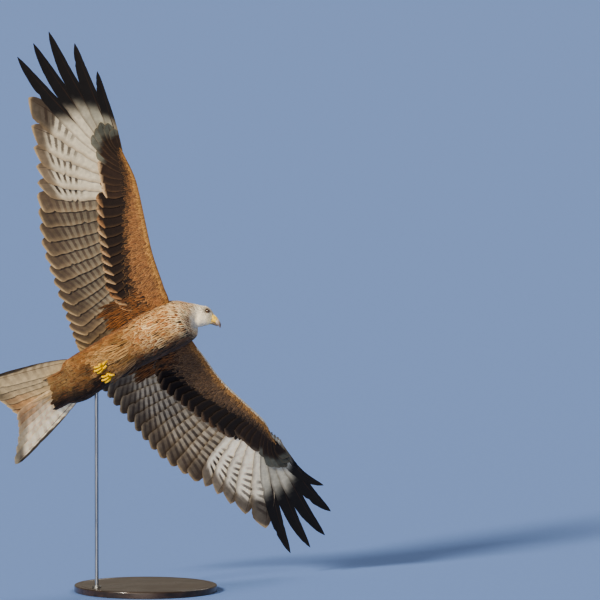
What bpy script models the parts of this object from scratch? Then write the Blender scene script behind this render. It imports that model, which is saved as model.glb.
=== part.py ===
"""A red kite in a banked glide, life size, on a plain display stand. Metres, +Z up.

The bird is modelled in its own frame in millimetres: X runs forward to the bill, Y to the bird's left and Z
to its back. The empty bird_pose carries it into the banked pose over the stand, whose foot is the origin.
"""

import math

import bmesh
import bpy
import numpy as np
from mathutils import Matrix, Quaternion, Vector

MM = 0.001
GAP = 0.3

# The pose: how the body climbs, how far its right side is rolled towards the viewer, and the height from
# which the viewer looks.
CLIMB_DEG = 28.5
ROLL_DEG = 27.0
VIEW_DOWN_DEG = 5.0
BIRD_ORIGIN = Vector((-40.0, -60.0, 655.0))

# The head is turned to look level and to the left, out of the bank.
HEAD_YAW_DEG = 43.2
HEAD_PITCH_DEG = 25.3
HEAD_ROLL_DEG = -55.5
EYE_LEVEL = Vector((225.0, 26.0, 16.0))

# The body from the ends of the tail coverts to the neck:
# step, centre x, y, z, half width, height above, depth below, share of the head's turn.
BODY_ROWS = (
    (0, -257, 0, -19, 12, 6, 8, 0),
    (1, -238, 0, -19, 29, 12, 16, 0),
    (2, -214, 0, -18, 47, 19, 27, 0),
    (3, -188, 0, -16.5, 60, 28, 36, 0),
    (4, -154, 0, -13, 65, 39, 45, 0),
    (5, -111, 0, -6.5, 62, 46.5, 50, 0),
    (6, -58, 0, 0, 61, 51.5, 55.5, 0),
    (7, 0, 0, 4, 61, 54, 58, 0),
    (8, 53, 0, 5, 65, 57, 62, 0),
    (9, 101, 0, 5, 66.5, 57, 63.5, 0),
    (10, 135, 1, 6.5, 67, 54, 65, 0.03),
    (11, 159, 5, 9.5, 59, 46, 59, 0.14),
    (12, 176, 11, 14, 47, 37.5, 49, 0.42),
    (13, 189, 15, 18, 36.5, 32.5, 40.5, 0.78),
)
# The head, in its own frame:
# step, distance ahead of the eye, centre's height over it, half width, above, below.
HEAD_ROWS = (
    (14, -21, -15.5, 28, 29, 30),
    (15, -8, -14, 26, 28, 28.5),
    (16, 3, -13, 22.8, 25.5, 25.5),
    (17, 11, -13, 18, 21, 21.5),
    (18, 17.5, -13.5, 13.2, 15.6, 17.5),
)
NECK_STEPS = (10.9, 13.6)
STEP_GAP = 0.022
BODY_SIDES = 20
SECTIONS = {"torso": 24, "neck": 7, "head": 11}
CUT_MARGIN = 0.1

# The bill, in the head's frame: distance ahead of the eye, height, downward pitch, half width, above, below.
CERE_ROWS = (
    (17.8, -9, 0, 11.6, 10.2, 9.6),
    (24.5, -10.6, 3, 10.0, 9.2, 9.0),
    (30, -12.8, 8, 8.2, 7.8, 7.4),
)
BILL_ROWS = (
    (30.3, -12.9, 8, 8.1, 7.7, 7.3),
    (36, -16.2, 20, 6.2, 6.4, 5.6),
    (41, -20.2, 42, 4.2, 5.0, 4.0),
    (44, -24.5, 66, 2.4, 3.0, 2.6),
    (45, -28.6, 80, 0.8, 1.0, 0.9),
)
LOWER_BILL_ROWS = (
    (17.8, -21.6, 0, 9.6, 7.0, 7.0),
    (25, -22.6, 0, 8.0, 5.2, 5.6),
    (32, -23.4, 2, 5.8, 4.2, 4.0),
    (37, -24.2, 6, 3.0, 1.6, 1.8),
)
MOUTH_GAP = 0.45
EYE_RADIUS = 7.2
EYE_OUT = 14.4
LID_DEPTH = 1.3
LID_OPENING = 5.0
BROW_PITCH_DEG = 13.0

# The wing in plan, from above: forward x against distance out from the body's middle.
SHOULDER = (138.0, 53.0)
ELBOW = (90.0, 175.0)
WRIST = (196.0, 379.0)
HAND_TIP = (231.0, 489.0)
LEADING_EDGE = ((30, 132), (53, 148), (106, 158), (212, 175), (291, 196), (366, 217), (397, 225), (500, 238))
REAR_EDGE = ((30, 0), (53, 20), (106, 34), (175, 58), (291, 118), (366, 158), (397, 174), (500, 213))
ARM_DEPTH = ((30, 36), (106, 28), (212, 22), (366, 18), (464, 14), (500, 9))
ARM_SIDES = 10
ARM_SECTIONS = 11
# How far the leading edge of each wing lies ahead of that table, along the arm and along the hand.
LEAD_SHIFTS = {"left": (-7.0, -19.0), "right": (1.5, -3.0)}
# The tips of the ten primaries, from the innermost, and how far each bends up; the last five are the fingers.
PRIMARY_TIPS = (
    (-5, 515),
    (13, 556),
    (31, 605),
    (53, 659),
    (82, 731),
    (109, 843),
    (163, 856),
    (213, 855),
    (258, 794),
    (275, 702),
)
PRIMARY_TIP_LIFTS = (0, 0, 0, 0, -4, -10, -14, 6, 9, 4)
FIRST_FINGER = 5
SECONDARIES = 16
SECONDARY_TIPS = (
    (0, -24, 480),
    (3, -72, 360),
    (6, -93, 244),
    (9, -109, 138),
    (12, -119, 62),
    (15, -122, 34),
)
ROOT_HEIGHT = 34.5
DIHEDRAL = 0.045
BEND_UP = 0.000102
DROOP = 26.0
DROOP_CHORD = 160.0

# A feather along its shaft: the share of its length, then of the full widths of its outer and inner webs.
ROUND_SHAPE = ((0, 0.35, 0.35), (0.38, 0.95, 0.95), (0.78, 1, 1), (0.93, 0.75, 0.8), (1, 0.1, 0.25))
FINGER_SHAPE = (
    (0, 0.35, 0.35),
    (0.3, 1, 1),
    (0.55, 1, 1),
    (0.74, 0.8, 0.85),
    (0.87, 0.6, 0.56),
    (0.95, 0.35, 0.3),
    (1, 0.05, 0.05),
)
COVERT_SHAPE = ((0, 0.6, 0.6), (0.65, 1, 1), (1, 0.25, 0.4))
FEATHER_THICKNESS = 0.7
COVERT_THICKNESS = 0.6
FEATHER_RISE = 0.087
SECONDARY_WEBS = (15.0, 35.0)
PRIMARY_WEBS = (16.0, 39.0)
FINGER_WEBS = (12.0, 27.0)
LAST_FINGER_WEBS = (9.0, 20.0)
COVERT_WEBS = (14.0, 27.0)
# How far a feather bows towards its outer side, as a share of its length.
FEATHER_BOW = 0.03
FINGER_BOWS = {"left": -0.04, "right": -0.025}
LAST_FINGER_BOWS = {"left": -0.1, "right": -0.01}
# The rows of greater coverts: where they start and end along their flight feather, and their height over it.
COVERT_ROWS = {"under": (0.05, 0.42, -5.6), "upper": (0.05, 0.44, 4.4)}

# The tail: each half has six feathers, from the middle pair to the long outer one.
TAIL_ROOT_X = -150.0
TAIL_ROOT_STEP = 4.6
TAIL_HEIGHT = -6.0
TAIL_FALL = 0.105
TAIL_LIFT = 0.13
TAIL_TIPS = ((0, -353, 14), (2, -368, 58), (5, -415, 132))
TAIL_PAIRS = 6
TAIL_DEPTH = 3.6
TAIL_PAD = (TAIL_ROOT_X + 12, -200.0, (24.0, 54.0))
TAIL_SLOT = (TAIL_ROOT_X + 12 + GAP, -300.0, (44.0, 150.0))
TAIL_WEBS = (13.0, 25.0)
TAIL_RISE = 0.1
TAIL_MIDDLE_LIFT = 1.2

# The feet, drawn up loosely under the belly.
FOOT_PLACES = {"right": (-104.0, -25.0), "left": (-98.0, 10.0)}
TOE_RADIUS = 3.7
FOOT_DROP = 8.5
CLAW_LENGTH = 11.0
CLAW_TURN_DEG = 80.0

# The stand.
BASE_RADIUS = 190.0
BASE_HEIGHT = 18.0
ROD_RADIUS = 5.0
ROD_TOP = Vector((-112.0, 16.0, -13.0))


def smooth(rows):
    """A smooth curve through rows of (parameter, value, ...), as a function of the parameter."""
    table = np.array(rows, float)
    knots, values = table[:, 0], table[:, 1:]
    slopes = np.gradient(values, knots, axis=0)

    def at(x):
        x = min(max(x, knots[0]), knots[-1])
        i = min(int(np.searchsorted(knots, x, side="right")) - 1, len(knots) - 2)
        step = knots[i + 1] - knots[i]
        t = (x - knots[i]) / step
        start, end = values[i], values[i + 1]
        leave, arrive = slopes[i] * step, slopes[i + 1] * step
        return (
            (2 * t**3 - 3 * t**2 + 1) * start
            + (t**3 - 2 * t**2 + t) * leave
            + (3 * t**2 - 2 * t**3) * end
            + (t**3 - t**2) * arrive
        )

    return at


def ease(x):
    """Rises smoothly from 0 at 0 to 1 at 1."""
    x = min(max(x, 0), 1)
    return x * x * (3 - 2 * x)


def pose_matrix():
    """Carries the bird's frame, in metres, to the world."""
    climb, roll, down = (math.radians(a) for a in (CLIMB_DEG, ROLL_DEG, VIEW_DOWN_DEG))
    view_up = Vector((0, math.sin(down), math.cos(down)))
    to_viewer = Vector((0, -math.cos(down), math.sin(down)))
    forward = math.cos(climb) * Vector((1, 0, 0)) + math.sin(climb) * view_up
    across = -math.sin(climb) * Vector((1, 0, 0)) + math.cos(climb) * view_up
    right = math.cos(roll) * across + math.sin(roll) * to_viewer
    back = math.sin(roll) * across - math.cos(roll) * to_viewer
    turn = Matrix((forward, -right, back)).transposed().to_4x4()
    return Matrix.Translation(BIRD_ORIGIN * MM) @ turn


def head_turn():
    yaw = Quaternion((0, 0, 1), math.radians(HEAD_YAW_DEG))
    pitch = Quaternion((0, 1, 0), math.radians(HEAD_PITCH_DEG))
    roll = Quaternion((1, 0, 0), math.radians(-HEAD_ROLL_DEG))
    return yaw @ pitch @ roll


def in_head(ahead, left, up):
    """A point given in the head's frame, from the level of the eyes, in the bird's frame."""
    return EYE_LEVEL + head_turn() @ Vector((ahead, left, up))


def make_object(name, bm, collection):
    """An object from a closed bmesh in millimetres, with its faces pointing out."""
    bmesh.ops.recalc_face_normals(bm, faces=bm.faces)
    bmesh.ops.scale(bm, vec=(MM, MM, MM), verts=bm.verts)
    mesh = bpy.data.meshes.new(name)
    bm.to_mesh(mesh)
    bm.free()
    obj = bpy.data.objects.new(name, mesh)
    collection.objects.link(obj)
    return obj


def loft(name, rings, collection):
    """A closed skin over rings with the same number of points, its quads split the same way throughout."""
    bm = bmesh.new()
    loops = [[bm.verts.new(p) for p in ring] for ring in rings]
    count = len(rings[0])
    for near, far in zip(loops, loops[1:]):
        for i in range(count):
            j = (i + 1) % count
            bm.faces.new((near[i], near[j], far[j]))
            bm.faces.new((near[i], far[j], far[i]))
    for ring in (loops[0], loops[-1]):
        bm.faces.new(ring)
    bmesh.ops.triangulate(bm, faces=[f for f in bm.faces if len(f.verts) > 3])
    return make_object(name, bm, collection)


def plate(name, grid, thickness, collection):
    """A thin closed plate over a grid of points, with both faces split into triangles alike."""
    bm = bmesh.new()
    lift = Vector((0, 0, thickness / 2))
    top = [[bm.verts.new(p + lift) for p in row] for row in grid]
    low = [[bm.verts.new(p - lift) for p in row] for row in grid]
    rows, columns = len(grid), len(grid[0])
    for sheet in (top, low):
        for near, far in zip(sheet, sheet[1:]):
            for k in range(columns - 1):
                bm.faces.new((near[k], near[k + 1], far[k + 1]))
                bm.faces.new((near[k], far[k + 1], far[k]))
    rim = [(0, k) for k in range(columns)]
    rim += [(r, columns - 1) for r in range(1, rows)]
    rim += [(rows - 1, k) for k in range(columns - 2, -1, -1)]
    rim += [(r, 0) for r in range(rows - 2, 0, -1)]
    for (r, k), (r2, k2) in zip(rim, rim[1:] + rim[:1]):
        bm.faces.new((top[r][k], top[r2][k2], low[r2][k2], low[r][k]))
    bmesh.ops.triangulate(bm, faces=[f for f in bm.faces if len(f.verts) > 3])
    return make_object(name, bm, collection)


def tube(name, path, radii, sides, collection):
    """A closed tube along a path, with a radius at each point."""
    rings = []
    side = None
    for i, point in enumerate(path):
        ahead = (path[min(i + 1, len(path) - 1)] - path[max(i - 1, 0)]).normalized()
        if side is None:
            side = ahead.orthogonal().normalized()
        side = (side - ahead * side.dot(ahead)).normalized()
        other = ahead.cross(side)
        angles = [math.tau * k / sides for k in range(sides)]
        rings.append([point + radii[i] * (math.cos(a) * side + math.sin(a) * other) for a in angles])
    return loft(name, rings, collection)


def ball(name, centre, radii, collection, turn=None, rings=8, segments=12):
    """A closed ellipsoid."""
    bm = bmesh.new()
    bmesh.ops.create_uvsphere(bm, u_segments=segments, v_segments=rings, radius=1)
    place = Matrix.Translation(centre) @ (turn or Quaternion()).to_matrix().to_4x4()
    bmesh.ops.transform(bm, matrix=place @ Matrix.Diagonal((*radii, 1)), verts=bm.verts)
    bmesh.ops.triangulate(bm, faces=bm.faces)
    return make_object(name, bm, collection)


def apply_boolean(obj, others, operation):
    """Joins the other objects to this one, or cuts them from it, and removes them."""
    tools = bpy.data.collections.new("tools")
    for other in others:
        for owner in list(other.users_collection):
            owner.objects.unlink(other)
        tools.objects.link(other)
    bpy.context.scene.collection.children.link(tools)
    modifier = obj.modifiers.new("join", "BOOLEAN")
    modifier.operation = operation
    modifier.operand_type = "COLLECTION"
    modifier.collection = tools
    graph = bpy.context.evaluated_depsgraph_get()
    mesh = bpy.data.meshes.new_from_object(obj.evaluated_get(graph))
    obj.modifiers.clear()
    obj.data = mesh
    for other in others:
        bpy.data.objects.remove(other)
    bpy.data.collections.remove(tools)
    keep_largest(obj)


def keep_largest(obj):
    """Leaves only the object's largest closed surface."""
    bm = bmesh.new()
    bm.from_mesh(obj.data)
    bmesh.ops.triangulate(bm, faces=bm.faces)
    shells, seen = [], set()
    for first in bm.verts:
        if first in seen:
            continue
        shell, front = {first}, [first]
        while front:
            for link in front.pop().link_edges:
                for vert in link.verts:
                    if vert not in shell:
                        shell.add(vert)
                        front.append(vert)
        seen |= shell
        shells.append(shell)
    largest = max(shells, key=shell_volume)
    bmesh.ops.delete(bm, geom=[v for v in bm.verts if v not in largest], context="VERTS")
    bm.to_mesh(obj.data)
    bm.free()


def shell_volume(shell):
    total = 0.0
    for face in {face for vert in shell for face in vert.link_faces}:
        a, b, c = (v.co for v in face.verts)
        total += a.dot(b.cross(c)) / 6
    return abs(total)


def body_rows():
    rows = [tuple(row) for row in BODY_ROWS]
    for step, ahead, height, wide, above, below in HEAD_ROWS:
        rows.append((step, *in_head(ahead, 0, height), wide, above, below, 1))
    return rows


BODY_CURVE = smooth(body_rows())


def body_ring(step, sides, grow=0.0):
    """One section of the body, neck and head, as points in the bird's frame."""
    x, y, z, wide, above, below, share = BODY_CURVE(step)
    turn = Quaternion().slerp(head_turn(), min(max(share, 0), 1))
    left, up = turn @ Vector((0, 1, 0)), turn @ Vector((0, 0, 1))
    ring = []
    for i in range(sides):
        angle = math.tau * i / sides
        tall = (above if math.sin(angle) > 0 else below) + grow
        ring.append(Vector((x, y, z)) + left * (wide + grow) * math.cos(angle) + up * tall * math.sin(angle))
    return ring


def body_steps():
    """The sections of the torso, the neck and the head, with a thin cut between each two."""
    torso_end, neck_end = NECK_STEPS
    return {
        "torso": np.linspace(0, torso_end, SECTIONS["torso"]),
        "neck": np.linspace(torso_end + STEP_GAP, neck_end, SECTIONS["neck"]),
        "head": np.linspace(neck_end + STEP_GAP, HEAD_ROWS[-1][0], SECTIONS["head"]),
    }


def torso_copy(collection):
    """The torso and neck with the gap added, to cut what grows from them."""
    steps = [*body_steps()["torso"], *body_steps()["neck"]]
    return loft("torso_cut", [body_ring(s, BODY_SIDES, GAP + CUT_MARGIN) for s in steps], collection)


def bill_piece(name, rows, collection, grow=0.0, sides=12):
    """A length of the bill over rings in the head's frame, each tipped forward by its pitch."""
    rings = []
    for ahead, height, pitch_deg, wide, above, below in rows:
        pitch = math.radians(pitch_deg)
        ring = []
        for i in range(sides):
            angle = math.tau * i / sides
            tall = ((above if math.sin(angle) > 0 else below) + grow) * math.sin(angle)
            out = (wide + grow) * math.cos(angle)
            ring.append(in_head(ahead + tall * math.sin(pitch), out, height + tall * math.cos(pitch)))
        rings.append(ring)
    return loft(name, rings, collection)


def build_body(collection):
    made = {}
    for name, steps in body_steps().items():
        made[name] = loft(name, [body_ring(s, BODY_SIDES) for s in steps], collection)
    return made


def build_eyes(head, collection):
    """The eyes, and on the head the pits they sit in, their lids and the brows."""
    eyes, added, cut = {}, [], []
    for side, word in ((1, "left"), (-1, "right")):
        centre = in_head(0, side * EYE_OUT, 0)
        outside = in_head(0, side * (EYE_OUT + 14), 0)
        eyes[f"eye_{word}"] = ball(f"eye_{word}", centre, (EYE_RADIUS,) * 3, collection, None, 9, 14)
        added.append(ball("lid", centre, (EYE_RADIUS + LID_DEPTH,) * 3, collection, None, 9, 14))
        cut.append(ball("pit", centre, (EYE_RADIUS + GAP,) * 3, collection, None, 9, 14))
        cut.append(tube("opening", [centre, outside], (LID_OPENING,) * 2, 14, collection))
        brow = in_head(1.0, side * 17.6, 6.4)
        turn = head_turn() @ Quaternion((0, 1, 0), math.radians(BROW_PITCH_DEG))
        added.append(ball("brow", brow, (10.5, 3.2, 2.1), collection, turn, 6, 10))
    apply_boolean(head, added, "UNION")
    apply_boolean(head, cut, "DIFFERENCE")
    return eyes


def build_bill(collection):
    cere = bill_piece("cere", CERE_ROWS, collection)
    nostrils = []
    for side in (1, -1):
        place = in_head(26.0, side * 9.6, -9.0)
        nostrils.append(ball("nostril", place, (2.4, 1.6, 1.3), collection, head_turn(), 6, 8))
    apply_boolean(cere, nostrils, "DIFFERENCE")
    upper = bill_piece("bill_upper", BILL_ROWS, collection)
    lower = bill_piece("bill_lower", LOWER_BILL_ROWS, collection)
    over = bill_piece("over", CERE_ROWS[:-1] + BILL_ROWS, collection, MOUTH_GAP)
    apply_boolean(lower, [over], "DIFFERENCE")
    return {"cere": cere, "bill_upper": upper, "bill_lower": lower}


LEADING_CURVE = smooth(LEADING_EDGE)
REAR_CURVE = smooth(REAR_EDGE)
DEPTH_CURVE = smooth(ARM_DEPTH)


def wing_height(forward, out):
    """The height of the wing's middle surface over the bird's frame, at a point of its plan."""
    lead = LEADING_CURVE(out)[0]
    along = min(max((forward - lead + DROOP_CHORD) / DROOP_CHORD, 0), 1.15)
    droop = DROOP * (1 - ease((out - 350) / 300))
    return ROOT_HEIGHT + DIHEDRAL * out + BEND_UP * out * out - droop * along * along


def arm_ring(word, out):
    """A section of the arm and hand: blunt in front and thin behind."""
    side = 1 if word == "left" else -1
    arm_shift, hand_shift = LEAD_SHIFTS[word]
    shift = arm_shift * ease((out - 120) / 150) + (hand_shift - arm_shift) * ease((out - 400) / 100)
    rear = REAR_CURVE(out)[0]
    lead = LEADING_CURVE(out)[0] + shift
    depth = DEPTH_CURVE(out)[0]
    ring = []
    for i in range(ARM_SIDES):
        angle = math.tau * i / ARM_SIDES
        along = 0.5 + 0.5 * math.cos(angle)
        thick = 0.62 * depth * (0.16 + 0.84 * along**0.6) * abs(math.sin(angle)) ** 0.8
        x = rear + (lead - rear) * along
        ring.append(Vector((x, side * out, wing_height(x, out) + math.copysign(thick, math.sin(angle)))))
    return ring


def remex_plan(word):
    """Each flight feather in plan, from the outer finger to the one at the body."""
    plan = []
    wrist, hand_tip = np.array(WRIST), np.array(HAND_TIP)
    last = len(PRIMARY_TIPS) - 1
    for i in range(last, -1, -1):
        root = wrist + (0.04 + 0.96 * i / last) * (hand_tip - wrist)
        tip, lift = np.array(PRIMARY_TIPS[i], float), PRIMARY_TIP_LIFTS[i]
        if i < FIRST_FINGER:
            shape, webs, bow = ROUND_SHAPE, PRIMARY_WEBS, FEATHER_BOW
        elif i < last:
            shape, webs, bow = FINGER_SHAPE, FINGER_WEBS, FINGER_BOWS[word]
        else:
            shape, webs, bow = FINGER_SHAPE, LAST_FINGER_WEBS, LAST_FINGER_BOWS[word]
        plan.append((root, tip, lift, shape, webs, bow))
    tips = smooth(SECONDARY_TIPS)
    for i in range(SECONDARIES):
        share = (i + 0.8) / 10
        start, end = (WRIST, ELBOW) if share < 1 else (ELBOW, SHOULDER)
        along = share if share < 1 else (share - 1) * 1.6
        root = np.array(start) + along * (np.array(end) - np.array(start))
        plan.append((root, tips(i), 0, ROUND_SHAPE, SECONDARY_WEBS, FEATHER_BOW))
    return plan


def vane(root, tip, bow, shape, webs, height, rise, thickness, collection):
    """A flight feather or covert: a thin plate along a bowed shaft, its outer web higher than its inner one.

    Root and tip are in the wing's plan, (forward, out); height gives the shaft's height there.
    """
    reach = tip - root
    outer = np.array((reach[1], -reach[0])) / np.linalg.norm(reach)
    bow = bow * float(np.linalg.norm(reach))
    grid = []
    for t, outer_share, inner_share in shape:
        point = root + t * reach + 4 * t * (1 - t) * bow * outer
        row = []
        for offset in (outer_share * webs[0], -inner_share * webs[1]):
            x, out = point + offset * outer
            row.append(Vector((x, out, height(x, out, t) + rise * offset)))
        grid.append(row)
    return plate("vane", grid, thickness, collection)


def wing_vanes(word, collection):
    """The flight feathers and the rows of greater coverts over and under their roots."""
    vanes = []
    for root, tip, tip_lift, shape, webs, bow in remex_plan(word):

        def height(x, out, t, lift=tip_lift):
            return wing_height(x, out) + lift * max(2 * t - 1, 0) ** 2

        look = (shape, webs, height, FEATHER_RISE, FEATHER_THICKNESS)
        vanes.append(vane(root, tip, bow, *look, collection))
        for start, end, lift in COVERT_ROWS.values() if shape is ROUND_SHAPE else ():
            near, far = root + start * (tip - root), root + end * (tip - root)

            def covert_height(x, out, t, lift=lift):
                return wing_height(x, out) + lift

            look = (COVERT_SHAPE, COVERT_WEBS, covert_height, FEATHER_RISE, COVERT_THICKNESS)
            vanes.append(vane(near, far, bow, *look, collection))
    if word == "right":
        for made in vanes:
            mirror(made)
    return vanes


def mirror(obj):
    """Turns a left piece into a right one."""
    obj.data.transform(Matrix.Diagonal((1, -1, 1, 1)))
    obj.data.flip_normals()


def build_wing(word, collection):
    first, last = LEADING_EDGE[0][0], LEADING_EDGE[-1][0]
    rings = [arm_ring(word, out) for out in np.linspace(first, last, ARM_SECTIONS)]
    wing = loft(f"wing_{word}", rings, collection)
    apply_boolean(wing, wing_vanes(word, collection), "UNION")
    apply_boolean(wing, [torso_copy(collection)], "DIFFERENCE")
    return wing


TAIL_CURVE = smooth(TAIL_TIPS)


def tail_height(x, y):
    return TAIL_HEIGHT + TAIL_FALL * (x - TAIL_ROOT_X) + TAIL_LIFT * abs(y)


def tail_block(name, plan, half_depth, collection):
    """A shallow block that follows the tail: the pad of its roots, or the slot it leaves in the body."""
    start_x, end_x, widths = plan
    rings = []
    for t in np.linspace(0, 1, 6):
        x = start_x + t * (end_x - start_x)
        wide = widths[0] + t * (widths[1] - widths[0])
        ring = [(y, half_depth) for y in (wide, wide / 2, 0, -wide / 2, -wide)]
        ring += [(y, -half_depth) for y in (-wide, -wide / 2, 0, wide / 2, wide)]
        rings.append([Vector((x, y, tail_height(x, y) + lift)) for y, lift in ring])
    return loft(name, rings, collection)


def tail_vane(rank, side, collection):
    """A tail feather, which leaves the body outwards and then bends back; rank 0 is in the middle."""
    tip = np.array(TAIL_CURVE(rank))
    root = np.array((TAIL_ROOT_X, 4 + TAIL_ROOT_STEP * rank))
    bend = np.array((TAIL_ROOT_X - 42, root[1] + 8 + 5.2 * rank))
    lift = TAIL_MIDDLE_LIFT if rank == 0 and side < 0 else 0.0
    grid = []
    for t, outer_share, inner_share in ROUND_SHAPE:
        x, y = (1 - t) ** 2 * root + 2 * t * (1 - t) * bend + t * t * tip
        ahead = (1 - t) * (bend - root) + t * (tip - bend)
        across = np.array((ahead[1], -ahead[0])) / np.linalg.norm(ahead)
        row = []
        for offset in (outer_share * TAIL_WEBS[0], -inner_share * TAIL_WEBS[1]):
            px, py = np.array((x, y)) + offset * across
            row.append(Vector((px, side * py, tail_height(px, py) + TAIL_RISE * offset + lift)))
        grid.append(row)
    return plate("rectrix", grid, FEATHER_THICKNESS, collection)


def build_tail(collection):
    tail = tail_block("tail", TAIL_PAD, TAIL_DEPTH, collection)
    vanes = [tail_vane(rank, side, collection) for side in (1, -1) for rank in range(TAIL_PAIRS)]
    apply_boolean(tail, vanes, "UNION")
    return tail


def toe_path(hub, yaw_deg, reach, drop, end_deg, steps=7):
    """A loosely closed toe: an oval arc that leaves the pad and curls back under the foot."""
    yaw = math.radians(yaw_deg)
    path = []
    for i in range(steps):
        angle = math.radians(6 + (end_deg - 6) * i / (steps - 1))
        along = reach * (1 - math.cos(angle))
        sink = -drop * math.sin(angle)
        path.append(hub + Vector((-along * math.cos(yaw), along * math.sin(yaw), sink)))
    return path


def build_foot(word, collection):
    x, y = FOOT_PLACES[word]
    side = 1 if word == "left" else -1
    belly = min(p.z for p in body_ring(5.15, 40))
    hub = Vector((x + 15, y, belly - FOOT_DROP))
    parts, claws = [], []
    toes = ((-8.0, -9, 15.5, 8.0, 148), (0.0, 0, 18.0, 9.2, 150), (8.0, 10, 14.0, 7.8, 146))
    for number, (offset, yaw_deg, reach, drop, end) in enumerate(toes):
        path = toe_path(hub + Vector((0, offset * 0.8, 0)), yaw_deg, reach, drop, end)
        radii = [TOE_RADIUS * (1 - 0.045 * i) for i in range(len(path))]
        parts.append(tube("toe", path, radii, 7, collection))
        claws.append(claw(f"claw_{word}_{number + 1}", path, collection))
    hind = toe_path(hub + Vector((2, side * -5, -2.5)), 180 - side * 24, 9.0, 7.5, 112)
    parts.append(tube("toe", hind, [TOE_RADIUS * (0.95 - 0.04 * i) for i in range(7)], 7, collection))
    claws.append(claw(f"claw_{word}_4", hind, collection))
    heel = hub + Vector((46, side * 6, FOOT_DROP + 16))
    foot = tube(f"leg_{word}", [heel, (heel + hub) / 2, hub], (4.8, 4.1, 4.6), 8, collection)
    sole = ball("sole", hub + Vector((-1.0, 0, -1.0)), (7.0, 11.5, 4.8), collection, None, 6, 10)
    apply_boolean(foot, [*parts, sole], "UNION")
    apply_boolean(foot, [torso_copy(collection)], "DIFFERENCE")
    return foot, claws


def claw(name, path, collection):
    """A sharp curved claw that carries on past the end of its toe."""
    end, before = path[-1], path[-2]
    ahead = (end - before).normalized()
    flat = Vector((before.x - end.x, before.y - end.y, 0)).normalized()
    inward = (flat - ahead * flat.dot(ahead)).normalized()
    radius = CLAW_LENGTH / math.radians(CLAW_TURN_DEG)
    points, radii = [], []
    for i in range(5):
        turn = math.radians(CLAW_TURN_DEG) * i / 4
        along = GAP + 0.15 + radius * math.sin(turn)
        points.append(end + ahead * along + inward * radius * (1 - math.cos(turn)))
        radii.append(2.1 * (1 - 0.22 * i))
    return tube(name, points, radii, 6, collection)


def build_stand(collection, pose):
    """The round base, the rod, and the pocket that the rod's end leaves in the body."""
    top = pose @ (ROD_TOP * MM) / MM
    foot = Vector((top.x, top.y, BASE_HEIGHT + GAP))
    rod = tube("stand_rod", [foot, top], (ROD_RADIUS,) * 2, 20, collection)
    end = top + Vector((0, 0, GAP))
    pocket = tube("pocket", [foot, end], (ROD_RADIUS + GAP,) * 2, 20, collection)
    pocket.data.transform(pose.inverted())
    bm = bmesh.new()
    bmesh.ops.create_cone(
        bm, cap_ends=True, segments=56, radius1=BASE_RADIUS, radius2=BASE_RADIUS, depth=BASE_HEIGHT
    )
    bmesh.ops.translate(bm, vec=(0, 0, BASE_HEIGHT / 2), verts=bm.verts)
    rim = [e for e in bm.edges if all(v.co.z > BASE_HEIGHT / 2 for v in e.verts)]
    bmesh.ops.bevel(bm, geom=rim, offset=3.0, segments=2, profile=0.5, affect="EDGES")
    bmesh.ops.triangulate(bm, faces=bm.faces)
    base = make_object("stand_base", bm, collection)
    return rod, pocket, base


def material(name, colour, roughness, metallic=0.0):
    made = bpy.data.materials.new(name)
    made.use_nodes = True
    shader = made.node_tree.nodes["Principled BSDF"]
    shader.inputs["Base Color"].default_value = (*colour, 1)
    shader.inputs["Roughness"].default_value = roughness
    shader.inputs["Metallic"].default_value = metallic
    return made


def give_materials(objects):
    """Gives each object the material whose name its own starts with."""
    looks = {
        "torso": material("body_feather", (0.42, 0.25, 0.13), 0.8),
        "neck": material("head_feather", (0.66, 0.62, 0.54), 0.8),
        "wing": material("wing_feather", (0.33, 0.25, 0.18), 0.75),
        "tail": material("tail_feather", (0.6, 0.5, 0.38), 0.75),
        "cere": material("yellow_skin", (0.85, 0.6, 0.1), 0.5),
        "bill": material("bill_horn", (0.08, 0.075, 0.07), 0.35),
        "claw": material("claw_horn", (0.03, 0.03, 0.03), 0.3),
        "eye": material("eye", (0.35, 0.2, 0.06), 0.05),
        "stand_base": material("stand_wood", (0.05, 0.05, 0.05), 0.4),
        "stand_rod": material("stand_steel", (0.3, 0.3, 0.3), 0.35, 1.0),
    }
    looks["head"] = looks["neck"]
    looks["leg"] = looks["cere"]
    for obj in objects:
        obj.data.materials.clear()
        start = next(s for s in looks if obj.name.startswith(s))
        obj.data.materials.append(looks[start])


def main():
    for obj in list(bpy.data.objects):
        bpy.data.objects.remove(obj)
    kite = bpy.data.collections.new("red_kite")
    bpy.context.scene.collection.children.link(kite)
    pose = pose_matrix()
    holder = bpy.data.objects.new("bird_pose", None)
    holder.matrix_world = pose
    kite.objects.link(holder)

    bird = build_body(kite)
    bird.update(build_eyes(bird["head"], kite))
    bird.update(build_bill(kite))
    for word in ("left", "right"):
        bird[f"wing_{word}"] = build_wing(word, kite)
        bird[f"leg_{word}"], claws = build_foot(word, kite)
        bird.update({claw.name: claw for claw in claws})
    bird["tail"] = build_tail(kite)
    rod, pocket, base = build_stand(kite, pose)
    slot = tail_block("tail_slot", TAIL_SLOT, TAIL_DEPTH + GAP, kite)
    apply_boolean(bird["torso"], [pocket, slot], "DIFFERENCE")

    for obj in bird.values():
        obj.parent = holder
    give_materials([*bird.values(), rod, base])


main()
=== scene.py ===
import math

import bmesh
import bpy
import numpy as np
from mathutils import Matrix, Quaternion, Vector


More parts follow.
